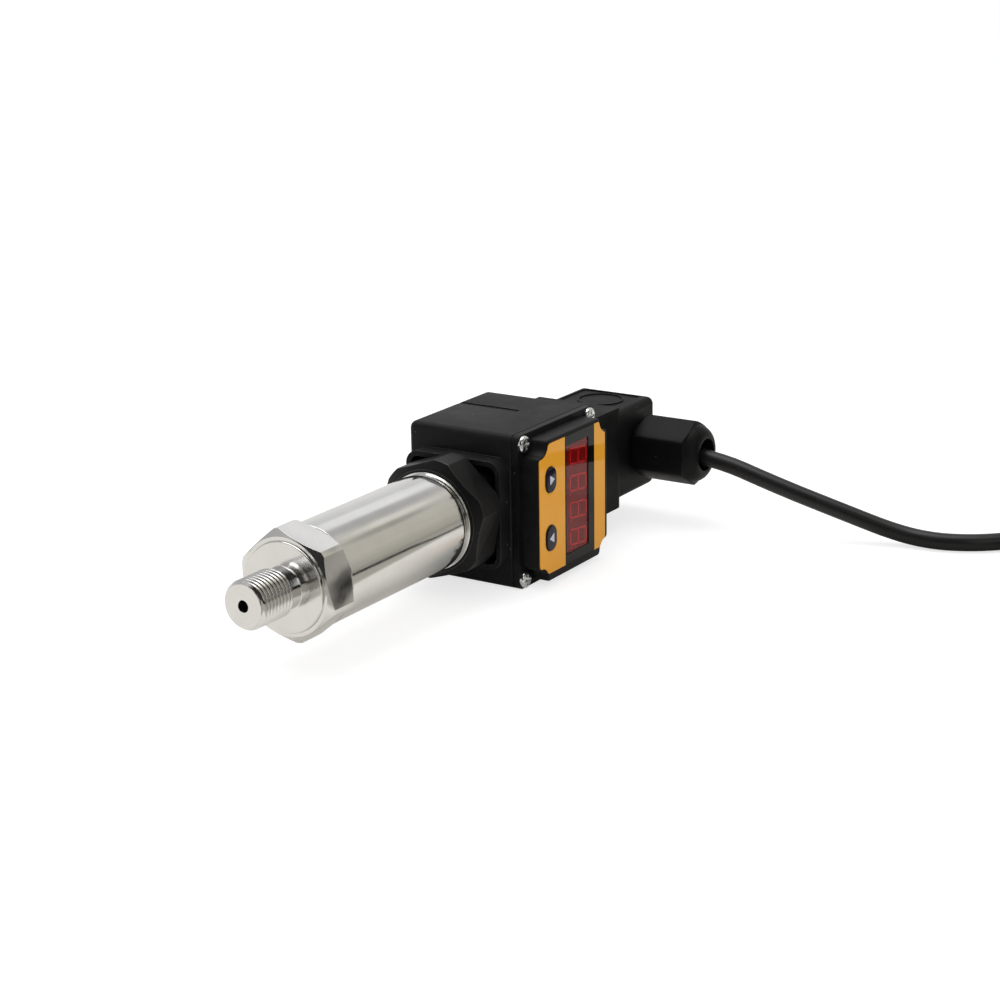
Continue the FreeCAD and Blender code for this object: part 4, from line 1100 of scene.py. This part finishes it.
@dataclass
class SensorTube:
    """Drawn tube with its rounded lip, and the polished ring behind it.

    Attributes:
        diameter: Outside diameter.
        wall: Wall thickness.
        span: Where the tube starts and ends.
        front_edge: Rounding of its front edge.
        lip: Rounding of its rear lip.
        ring_span: Where the ring starts and ends.
        ring_step: How far the ring stands out past the tube.
        ring_edge: Rounding of the ring's edges.
        columns: Columns of points round the axis.
    """

    diameter: float = 27.4
    wall: float = 1.4
    span: Pair = (26.3, 79.65)
    front_edge: float = 0.22
    lip: float = 2.4
    ring_span: Pair = (79.95, 80.5)
    ring_step: float = 0.22
    ring_edge: float = 0.2
    columns: int = 192

    def build(self) -> None:
        """Turn the tube and the ring."""
        outer, angles = self.diameter / 2, np.linspace(0, 2 * np.pi, self.columns, endpoint=False)
        inner, (start, end) = outer - self.wall, self.span
        tube = soften([(start, inner, 0), (start, outer, self.front_edge), (end, outer, self.lip),
                       (end, inner, 0)], closed=True, steps=8)
        piece = turned_piece("steel_tube", PORT_AXIS, (tube,), angles)
        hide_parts("body_tube")
        settle(piece, TUBE_STEEL, TRANSMITTER)
        (start, end), rim = self.ring_span, outer + self.ring_step
        ring = soften([(start, inner, 0), (start, rim, self.ring_edge), (end, rim, self.ring_edge),
                       (end, inner, 0)], closed=True, steps=6)
        piece = turned_piece("polished_end_ring", PORT_AXIS, (ring,), angles)
        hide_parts("tube_end_ring")
        settle(piece, RING_CHROME, TRANSMITTER)


@dataclass
class ConnectorBase:
    """Moulded hexagonal base that carries the module.

    Attributes:
        edge: Width of its broken edges.
    """

    edge: float = 0.3

    def build(self) -> None:
        """Break the edges of the base."""
        settle_moulding("connector_base", "hexagonal_base", self.edge, BASE_NYLON)


# ------------------------------------------------------------------ display module
@dataclass
class LidScrew:
    """Pan-head screw with a cross recess.

    Attributes:
        head: Diameter of the head.
        height: Height of the head.
        rounding: Rounding of the head's edge.
        crown: How far the head's middle rises over its edge.
        recess: Reach of the cross from its middle.
        arm: Half width of the cross's arms.
        arm_slope: Width of the slope along an arm's sides.
        end_slope: Width of the slope at an arm's end.
        recess_depth: Depth of the cross in the middle.
        recess_slope: Where the depth's share, which falls along an arm, starts from, and its least.
        shank: Diameter of the shank.
        length: Length of the shank.
        point: Length of the shank's pointed end.
        seat: Y of the head's seat.
    """

    head: float = 4.8
    height: float = 1.3
    rounding: float = 0.7
    crown: float = 0.12
    recess: float = 1.5
    arm: float = 0.36
    arm_slope: float = 0.09
    end_slope: float = 0.12
    recess_depth: float = 1.0
    recess_slope: Pair = (1.25, 0.3)
    shank: float = 2.2
    length: float = 9.0
    point: float = 0.8
    seat: float = -18.25

    def grid(self, x: float, z: float) -> tuple[np.ndarray, np.ndarray]:
        """Shape one screw on a polar grid.

        The head's height falls by a parabola from its crown and by a quarter circle at its edge.
        The cross is sunk where the distance from the nearer of two crossed lines is under half an
        arm, and grows shallower along the arms.

        Args:
            x: Place of the screw along X.
            z: Place of the screw along Z.

        Returns:
            Points and quads.
        """
        angles = np.linspace(0, 2 * np.pi, 96, endpoint=False)
        reach = self.head / 2
        rim = reach - self.rounding * (1 - np.sin(np.linspace(0.2, np.pi / 2, 8)))
        radii = np.concatenate([np.linspace(0, self.recess + 0.1, 34),
                                np.linspace(self.recess + 0.2, reach - self.rounding, 5), rim])[:, None]
        edge = np.clip((radii - reach + self.rounding) / self.rounding, 0, 1)
        fall = self.crown * (radii / reach) ** 2 + self.rounding * (1 - np.sqrt(1 - edge ** 2))
        across = radii * np.minimum(np.abs(np.cos(angles)), np.abs(np.sin(angles)))
        inside = (np.clip((self.arm - across) / self.arm_slope, 0, 1)
                  * np.clip((self.recess - radii) / self.end_slope, 0, 1))
        full, least = self.recess_slope
        sunk = inside * self.recess_depth * np.clip(full - radii / self.recess, least, 1)
        depth = fall + sunk
        rows = np.broadcast_to(radii, depth.shape)
        tip = self.height + self.length
        tail = np.array([(self.height, reach), (self.height, self.shank / 2),
                         (tip - self.point, self.shank / 2), (tip, 0.0)])
        rows = np.concatenate([rows, np.repeat(tail[:, 1:], len(angles), 1)])
        depth = np.concatenate([depth, np.repeat(tail[:, :1], len(angles), 1)])
        points = np.stack([x + rows * np.cos(angles), self.seat - self.height + depth,
                           z + rows * np.sin(angles)], -1)
        return points, grid_quads(len(rows), len(angles), around=True, closed=False)


@dataclass
class DisplayModule:
    """Plug-on display module with its lid, label, window, digits, keys and screws.

    Attributes:
        middle: Middle of the module along X.
        size: Size along X and Z.
        screw_inset: How far the lid screws lie from the module's edges, along X and Z.
        digit_x: Middle of the digits along X.
        digit_z: Middles of the digits along Z, from the first digit.
        digit_height: Height of a digit, along X.
        digit_width: Width of a digit, along Z.
        segment: Width of a segment.
        gap: How far a segment ends from its corners.
        dot: Radius of a digit's point, and how far it lies from the digit.
        slant: How far a digit leans over its height.
        segment_stand: How far the segments' front and rear stand off the diffuser.
        window: The filter's edges along X, then along Z.
        window_depth: Y of the filter's front and rear.
        diffuser_depth: Y of the front and rear of the diffuser plate behind the filter.
        key_x: Middle of the keys along X.
        key_z: Middles of the up key and the down key along Z.
        key_face: Y of the keys' faces.
        key_edge: Width of the keys' broken edges.
        arrow: How far an arrow head's tip and base lie from the key's middle, and half its width.
        arrow_cut: How much of its corners is cut along Z, and along X at its base.
        arrow_stand: How far an arrow head's front and rear stand off the key.
        edge: Width of the mouldings' broken edges.
        screw: The lid screws.
    """

    middle: float = 118.15
    size: Pair = (40.5, 44.5)
    screw_inset: Pair = (2.5, 2.65)
    digit_x: float = 121.05
    digit_z: tuple[float, ...] = (12.3, 4.35, -3.6, -11.55)
    digit_height: float = 8.7
    digit_width: float = 4.4
    segment: float = 0.42
    gap: float = 0.24
    dot: Pair = (0.3, 0.9)
    slant: float = 0.95
    segment_stand: Pair = (0.06, 0.005)
    window: tuple[float, float, float, float] = (113.75, 125.95, -15.2, 16.6)
    window_depth: Pair = (-24.0, -23.85)
    diffuser_depth: Pair = (-23.75, -22.4)
    key_x: float = 105.1
    key_z: Pair = (9.1, -7.8)
    key_face: float = -24.8
    key_edge: float = 0.12
    arrow: Triple = (1.25, 0.95, 1.35)
    arrow_cut: Pair = (0.12, 0.15)
    arrow_stand: Pair = (0.03, 0.002)
    edge: float = 0.22
    screw: LidScrew = field(default_factory=LidScrew)

    def segment_outlines(self) -> np.ndarray:
        """Outline the digits' segments and points, all as hexagons that lean with their digit.

        Returns:
            Plates x corners x 2 with X and Z.
        """
        h, w, b = self.digit_height / 2, self.digit_width / 2, self.segment / 2
        gap, (dot_radius, dot_shift) = self.gap, self.dot
        ends = np.array([[(h, -w), (h, w)], [(0, -w), (0, w)], [(-h, -w), (-h, w)],
                         [(0, -w), (h, -w)], [(0, w), (h, w)], [(-h, -w), (0, -w)], [(-h, w), (0, w)]])
        run = ends[:, 1] - ends[:, 0]
        run = run / np.linalg.norm(run, axis=1, keepdims=True)
        side = np.stack([-run[:, 1], run[:, 0]], 1)
        corners = ((0, 0, gap), (0, 1, b + gap), (1, 1, -b - gap),
                   (1, 0, -gap), (1, -1, -b - gap), (0, -1, b + gap))
        shape = np.stack([ends[:, end] + run * shift + side * lift * b
                          for end, lift, shift in corners], 1)
        angle = np.linspace(0, 2 * np.pi, 6, endpoint=False)
        dot = np.stack([-h + dot_radius * np.cos(angle),
                        -w - dot_shift + dot_radius * np.sin(angle)], -1)
        shape = np.concatenate([shape, dot[None]])
        shape[..., 1] -= self.slant * shape[..., 0] / self.digit_height
        middles = np.stack([np.full(len(self.digit_z), self.digit_x), np.array(self.digit_z)], -1)
        return (shape[None] + middles[:, None, None]).reshape(-1, 6, 2)

    def key_mark(self, z: float, sign: float) -> np.ndarray:
        """Outline a key's arrow head: three corners cut short by a little, pointing along X.

        Args:
            z: Middle of the key along Z.
            sign: 1 where it points to +X, -1 where it points to -X.

        Returns:
            One plate's corners, with X and Z.
        """
        (tip, base, half), (cut, rise) = self.arrow, self.arrow_cut
        corners = np.array([(tip, -cut), (tip, cut), (rise - base, half), (-base, half - cut),
                            (-base, cut - half), (rise - base, -half)])
        return (corners * (sign, 1.0) + (self.key_x, z))[None]

    def build(self) -> None:
        """Break the mouldings' edges and add screws, digits and the keys' arrow heads."""
        settle_moulding("display_housing", "module_housing", self.edge, MODULE_BLACK)
        settle_moulding("display_lid", "module_lid", self.edge, LID_BLACK)
        reach_x, reach_z = (size / 2 - inset for size, inset in zip(self.size, self.screw_inset))
        grids = [self.screw.grid(self.middle + sx * reach_x, sz * reach_z)
                 for sx in (-1, 1) for sz in (-1, 1)]
        screws = piece_from("cross_recess_screws", *join_grids(grids), crease=32.0)
        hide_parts("lid_screws")
        settle(screws, SCREW_STEEL, TRANSMITTER)
        levels = (self.diffuser_depth[0] - stand for stand in self.segment_stand)
        digits = plates("digit_segments", self.segment_outlines(), *levels)
        settle(digits, SEGMENT_RED, TRANSMITTER)
        x0, x1, z0, z1 = self.window
        outline = np.array([[(x0, z0), (x1, z0), (x1, z1), (x0, z1)]])
        diffuser = plates("digit_diffuser", outline, *self.diffuser_depth)
        settle(diffuser, DIGIT_RED, TRANSMITTER)
        pane = plates("window_filter", outline, *self.window_depth)
        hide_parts("display_window")
        settle(pane, WINDOW_RED, TRANSMITTER)
        for key, z, sign in zip(("up_key", "down_key"), self.key_z, (1.0, -1.0)):
            cap = moulded_copy(key, key + "_cap", self.key_edge, steps=2, crease=40.0)
            settle(cap, KEY_BLACK, key)
            levels = (self.key_face - stand for stand in self.arrow_stand)
            mark = plates(key + "_arrow", self.key_mark(z, sign), *levels)
            settle(mark, KEY_PRINT, key)


# ------------------------------------------------------------------ cable plug and gland
@dataclass
class CablePlug:
    """Angled cable plug with its gland nut.

    Attributes:
        edge: Width of the housing's broken edges.
        gland_axis: The gland's axis, its angles from +X towards +Z.
        nut: The gland nut's hexagon.
        nut_span: Where the nut's hexagon starts and ends along the gland's axis.
        thread: Diameter and depth end of the nut's threaded bore.
        dome: Place and radius of the dome's end.
        dome_pull: Place and radius of its curve's control point.
        mouth: Diameter of the nut's mouth.
        hex_edge: Rounding where the nut's flats and chamfers meet.
        lip: Rounding of the mouth's edge.
        lip_steps: How far the lip's outline starts below the dome's end and ends before the bore's.
        columns: Evenly spread columns of points round the nut.
    """

    edge: float = 0.3
    gland_axis: Axis = Axis((177.7, 0.0, 0.0), (0.0, -1.0, 0.0), (1.0, 0.0, 0.0), (0.0, 0.0, 1.0))
    nut: TurnedHexagon = TurnedHexagon(18.2, 20.4, 29.0, 17.6, 30.0, 1.2)
    nut_span: Pair = (14.4, 31.8)
    thread: Pair = (13.9, 28.3)
    dome: Pair = (35.0, 5.52)
    dome_pull: Pair = (34.81, 7.76)
    mouth: float = 9.84
    hex_edge: float = 0.15
    lip: float = 0.16
    lip_steps: Pair = (0.02, 0.4)
    columns: int = 168

    def gland_nut(self) -> Piece:
        """Turn the nut: its hexagon, then a dome along a quadratic curve, and its lip and bores.

        Returns:
            The nut.
        """
        angles = self.nut.angles(self.columns)
        radius, run = self.nut.radius(angles), self.nut.run(angles)
        (start, shoulder), circle = self.nut_span, self.nut.circle / 2
        (bore, floor), mouth = self.thread, self.mouth / 2
        front = soften([(floor, mouth, 0), (floor, bore / 2, 0), (start, bore / 2, 0),
                        (start, circle, 0), (start + run, radius, self.hex_edge),
                        (shoulder - run, radius, self.hex_edge)],
                       closed=False)
        t = np.linspace(0, 1, 14)[:, None]
        arc = ((1 - t) ** 2 * (shoulder, circle) + 2 * t * (1 - t) * self.dome_pull + t ** 2 * self.dome)
        end, end_radius = self.dome
        face_step, bore_step = self.lip_steps
        lip = soften([(end, end_radius - face_step, 0), (end, mouth, self.lip),
                      (floor + bore_step, mouth, 0)], closed=False)
        piece = turned_piece("gland_cap_nut", self.gland_axis, (front, arc[:, None], lip), angles,
                             crease=22.0)
        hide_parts("gland_nut")
        return piece

    def build(self) -> None:
        """Break the housing's edges and turn the gland nut."""
        settle_moulding("plug_housing", "plug_body", self.edge, PLUG_BLACK)
        settle(self.gland_nut(), GLAND_BLACK, "gland_nut")


# ------------------------------------------------------------------ CAD nodes that keep their shape
@dataclass
class KeptNodes:
    """Finishes of the CAD nodes that show with their own shape.

    Attributes:
        wearers: The names of the nodes that wear each finish.
    """

    wearers: dict[Finish, str] = field(default_factory=lambda: {
        CELL_STEEL: "sensor_cell cell_retaining_ring",
        SEAL_RUBBER: "cell_o_ring base_o_ring base_gasket lid_seal plug_gasket centre_washer"
                     " gland_grommet",
        CARRIER_GREY: "board_carrier",
        BOARD_GREEN: "amplifier_board display_board control_board",
        CHIP_BLACK: "amplifier_parts key_switches control_parts",
        BRASS: "link_header base_blades base_nut board_header module_contacts module_blades"
               " plug_contacts",
        LABEL: "front_label",
        DIGIT_RED: "digit_block",
        TERMINAL_GREY: "terminal_block gland_washer",
        SCREW_STEEL: "terminal_screws centre_screw",
        CORE_GREY: "cable_cores"})

    def build(self) -> None:
        """Dress each kept node."""
        for finish, nodes in self.wearers.items():
            for node in nodes.split():
                dress(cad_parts[node], finish)
                log.info("%s wears %s", node, finish.name)


# ------------------------------------------------------------------ floor, light and camera
@dataclass
class Studio:
    """Pale floor, soft light and the camera.

    Attributes:
        floor_level: Height of the floor.
        floor_reach: Half of the floor's side.
        paper_edge: Where the white paper ends in front of the object, as Y where X is 0.
        paper_slope: How much nearer that edge comes for each step along X.
        paper: Tone of the paper in gloss.
        desk: Tone of the desk before the paper in gloss.
        paper_glow: Strength of their glow in gloss.
        floor_glow: Strength of the floor's glow to the camera.
        camera_place: Where the camera stands.
        azimuth: The camera's azimuth, in degrees.
        elevation: The camera's elevation, in degrees.
        roll: The camera's roll, in degrees.
        lens: Focal length on a sensor 36 mm wide.
        shift: The lens's shift.
        patches: Patches of tone in the sky that gloss shows: each one's azimuth and elevation, the
            angles up to which it covers fully and at which it ends, and its tone.
        lamps: Square soft lights: each one's name, place, aim, side and power in watts.
    """

    floor_level: float = -22.25
    floor_reach: float = 4000.0
    paper_edge: float = -32.0
    paper_slope: float = 0.3
    paper: Colour = (0.95, 0.93, 0.885)
    desk: Colour = (0.48, 0.465, 0.42)
    paper_glow: float = 0.08
    floor_glow: float = 0.70
    camera_place: Triple = (-408.96, -338.10, 185.07)
    azimuth: float = -56.35
    elevation: float = 16.79
    roll: float = -1.16
    lens: float = 81.56
    shift: Pair = (0.0345, 0.00085)
    patches: tuple[tuple[float, ...], ...] = (
        (-132.0, 12.0, 52.0, 72.0, 0.025), (-60.0, 82.0, 14.0, 24.0, 1.8),
        (174.0, 30.0, 16.0, 24.0, 0.03), (120.0, 24.0, 12.0, 40.0, 0.5),
        (22.0, 35.0, 5.0, 11.0, 0.95), (2.0, 40.0, 3.0, 9.0, 0.5),
        (-14.0, 37.0, 2.0, 5.0, 0.8), (-24.0, 33.0, 2.0, 5.0, 0.4))
    lamps: tuple[tuple[str, Triple, Triple, float, float], ...] = (
        ("overhead", (150, 250, 900), (100, -20, 0), 700, 3.6),
        ("front_fill", (-300, -900, 500), (100, -20, 0), 600, 1.2))

    def camera(self) -> None:
        """Stand the camera: its back by azimuth and elevation, its right side level, then the roll."""
        a, e, r = (math.radians(v) for v in (self.azimuth, self.elevation, self.roll))
        back = Vector((math.sin(a) * math.cos(e), -math.cos(a) * math.cos(e), math.sin(e)))
        right = Vector((math.cos(a), math.sin(a), 0))
        up = back.cross(right)
        right, up = right * math.cos(r) + up * math.sin(r), up * math.cos(r) - right * math.sin(r)
        data = bpy.data.cameras.new("camera")
        data.lens, data.sensor_width = self.lens, 36.0
        data.shift_x, data.shift_y = self.shift
        data.clip_start, data.clip_end = 0.01, 50.0
        camera = placed("camera", data)
        camera.matrix_world = Matrix((right, up, back)).transposed().to_4x4()
        camera.location = Vector(self.camera_place) * MM
        bpy.context.scene.camera = camera

    def floor(self) -> None:
        """Lay the floor: white to the camera with a soft shadow, paper and desk in gloss."""
        reach, level = self.floor_reach, self.floor_level
        points = np.array([[(-reach, -reach, level), (reach, -reach, level)],
                           [(-reach, reach, level), (reach, reach, level)]])
        piece = piece_from("pale_floor", points, np.array([[0, 1, 3, 2]]))
        if piece.data.polygons[0].normal.z < 0:
            piece.data.flip_normals()
        w = Wiring("pale_floor_paint")
        ray = w.add("ShaderNodeLightPath", {}).outputs
        pale = w.mix(w.remap(w.noise(3, 3), 0.3, 0.7), (0.56, 0.56, 0.56), (0.54, 0.54, 0.54))
        seen = w.lit(pale, (1.0, 1.0, 1.0), self.floor_glow)
        parts = w.add("ShaderNodeSeparateXYZ", {0: w.place}).outputs
        across = w.maths("ADD", parts[1], w.maths("MULTIPLY", parts[0], self.paper_slope))
        on_paper = w.remap(across, (self.paper_edge - 4) * MM, (self.paper_edge + 4) * MM)
        tone = w.mix(on_paper, self.desk, self.paper)
        paper = w.lit(tone, tone, self.paper_glow)
        plain = w.add("ShaderNodeBsdfDiffuse", {"Color": (0.8, 0.8, 0.8)}).outputs[0]
        gloss = w.add("ShaderNodeMixShader", {0: ray["Is Glossy Ray"], 1: plain, 2: paper}).outputs[0]
        both = w.add("ShaderNodeMixShader", {0: ray["Is Camera Ray"], 1: gloss, 2: seen}).outputs[0]
        output = next(n for n in w.tree.nodes if n.type == "OUTPUT_MATERIAL")
        w.plug(output.inputs["Surface"], both)
        piece.data.materials.append(w.material)

    def sky(self) -> None:
        """Fill the world: white to the camera, even for matt surfaces, a studio's tones in gloss."""
        w = WorldWiring("studio")
        direction = w.add("ShaderNodeTexCoord", {}).outputs["Generated"]
        parts = w.add("ShaderNodeSeparateXYZ", {0: direction}).outputs
        side = w.remap(parts[2], -0.1, 0.28, 0.36, 0.56)
        leftness = w.remap(parts[1], -0.45, 0.1)
        tone = w.between(leftness, side, w.remap(parts[2], 0.1, 0.9, 0.84, 0.6))
        for azimuth, elevation, inner, outer, value in self.patches:
            tone = self.patch(w, direction, tone, azimuth, elevation, inner, outer, value)
        ray = w.add("ShaderNodeLightPath", {}).outputs
        warmth = w.mix(leftness, (1.03, 0.985, 0.875), (1.0, 1.0, 1.0))
        tone = w.add("ShaderNodeVectorMath", {0: warmth, "Scale": tone}, operation="SCALE").outputs[0]
        fill = w.mix(ray["Is Glossy Ray"], (0.55, 0.55, 0.55), tone)
        seen = w.maths("MAXIMUM", ray["Is Camera Ray"], ray["Is Transmission Ray"])
        colour = w.mix(seen, fill, (1.0, 1.0, 1.0))
        background = w.add("ShaderNodeBackground", {"Color": colour, "Strength": 1.0})
        w.add("ShaderNodeOutputWorld", {"Surface": background.outputs[0]})

    def patch(self, w: Wiring, direction: Socket, tone: Socket, azimuth: float, elevation: float,
              inner: float, outer: float, value: float) -> Socket:
        """Lay a round patch of one tone over the sky; it fades by the cosine to its middle.

        Args:
            w: The world's wiring.
            direction: Where a ray goes.
            tone: The sky's tone under the patch.
            azimuth: The patch's middle from +X towards +Y, in degrees.
            elevation: The patch's middle above the horizon, in degrees.
            inner: Angle from the middle up to which it covers fully, in degrees.
            outer: Angle from the middle at which it ends, in degrees.
            value: The patch's tone.

        Returns:
            The tone with the patch over it.
        """
        a, e = math.radians(azimuth), math.radians(elevation)
        middle = (math.cos(a) * math.cos(e), math.sin(a) * math.cos(e), math.sin(e))
        near = w.add("ShaderNodeVectorMath", {0: direction, 1: middle}, operation="DOT_PRODUCT")
        end, start = math.cos(math.radians(outer)), math.cos(math.radians(inner))
        return w.between(w.remap(near.outputs["Value"], end, start), tone, value)

    def light(self) -> None:
        """Hang the lamps, each square to the line to its aim."""
        for name, place, aim, side, watts in self.lamps:
            data = bpy.data.lights.new(name, "AREA")
            data.shape, data.size, data.energy = "SQUARE", side * MM, watts
            lamp = placed(name, data)
            lamp.location = Vector(place) * MM
            lamp.rotation_mode = "QUATERNION"
            lamp.rotation_quaternion = (Vector(aim) - Vector(place)).to_track_quat("-Z", "Y")


def main() -> None:
    """Build the studio, then each sub-assembly in order."""
    logging.basicConfig(level=logging.INFO, format="%(name)s: %(message)s", force=True)
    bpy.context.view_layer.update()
    bpy.context.scene.view_settings.view_transform = "Standard"
    studio = Studio()
    studio.camera()
    for assembly in (SignalCable(), PipePort(), SensorTube(), ConnectorBase(), DisplayModule(),
                     CablePlug(), KeptNodes()):
        assembly.build()
        log.info("%s built", type(assembly).__name__)
    studio.floor()
    studio.sky()
    studio.light()


if __name__ == "__main__":
    main()
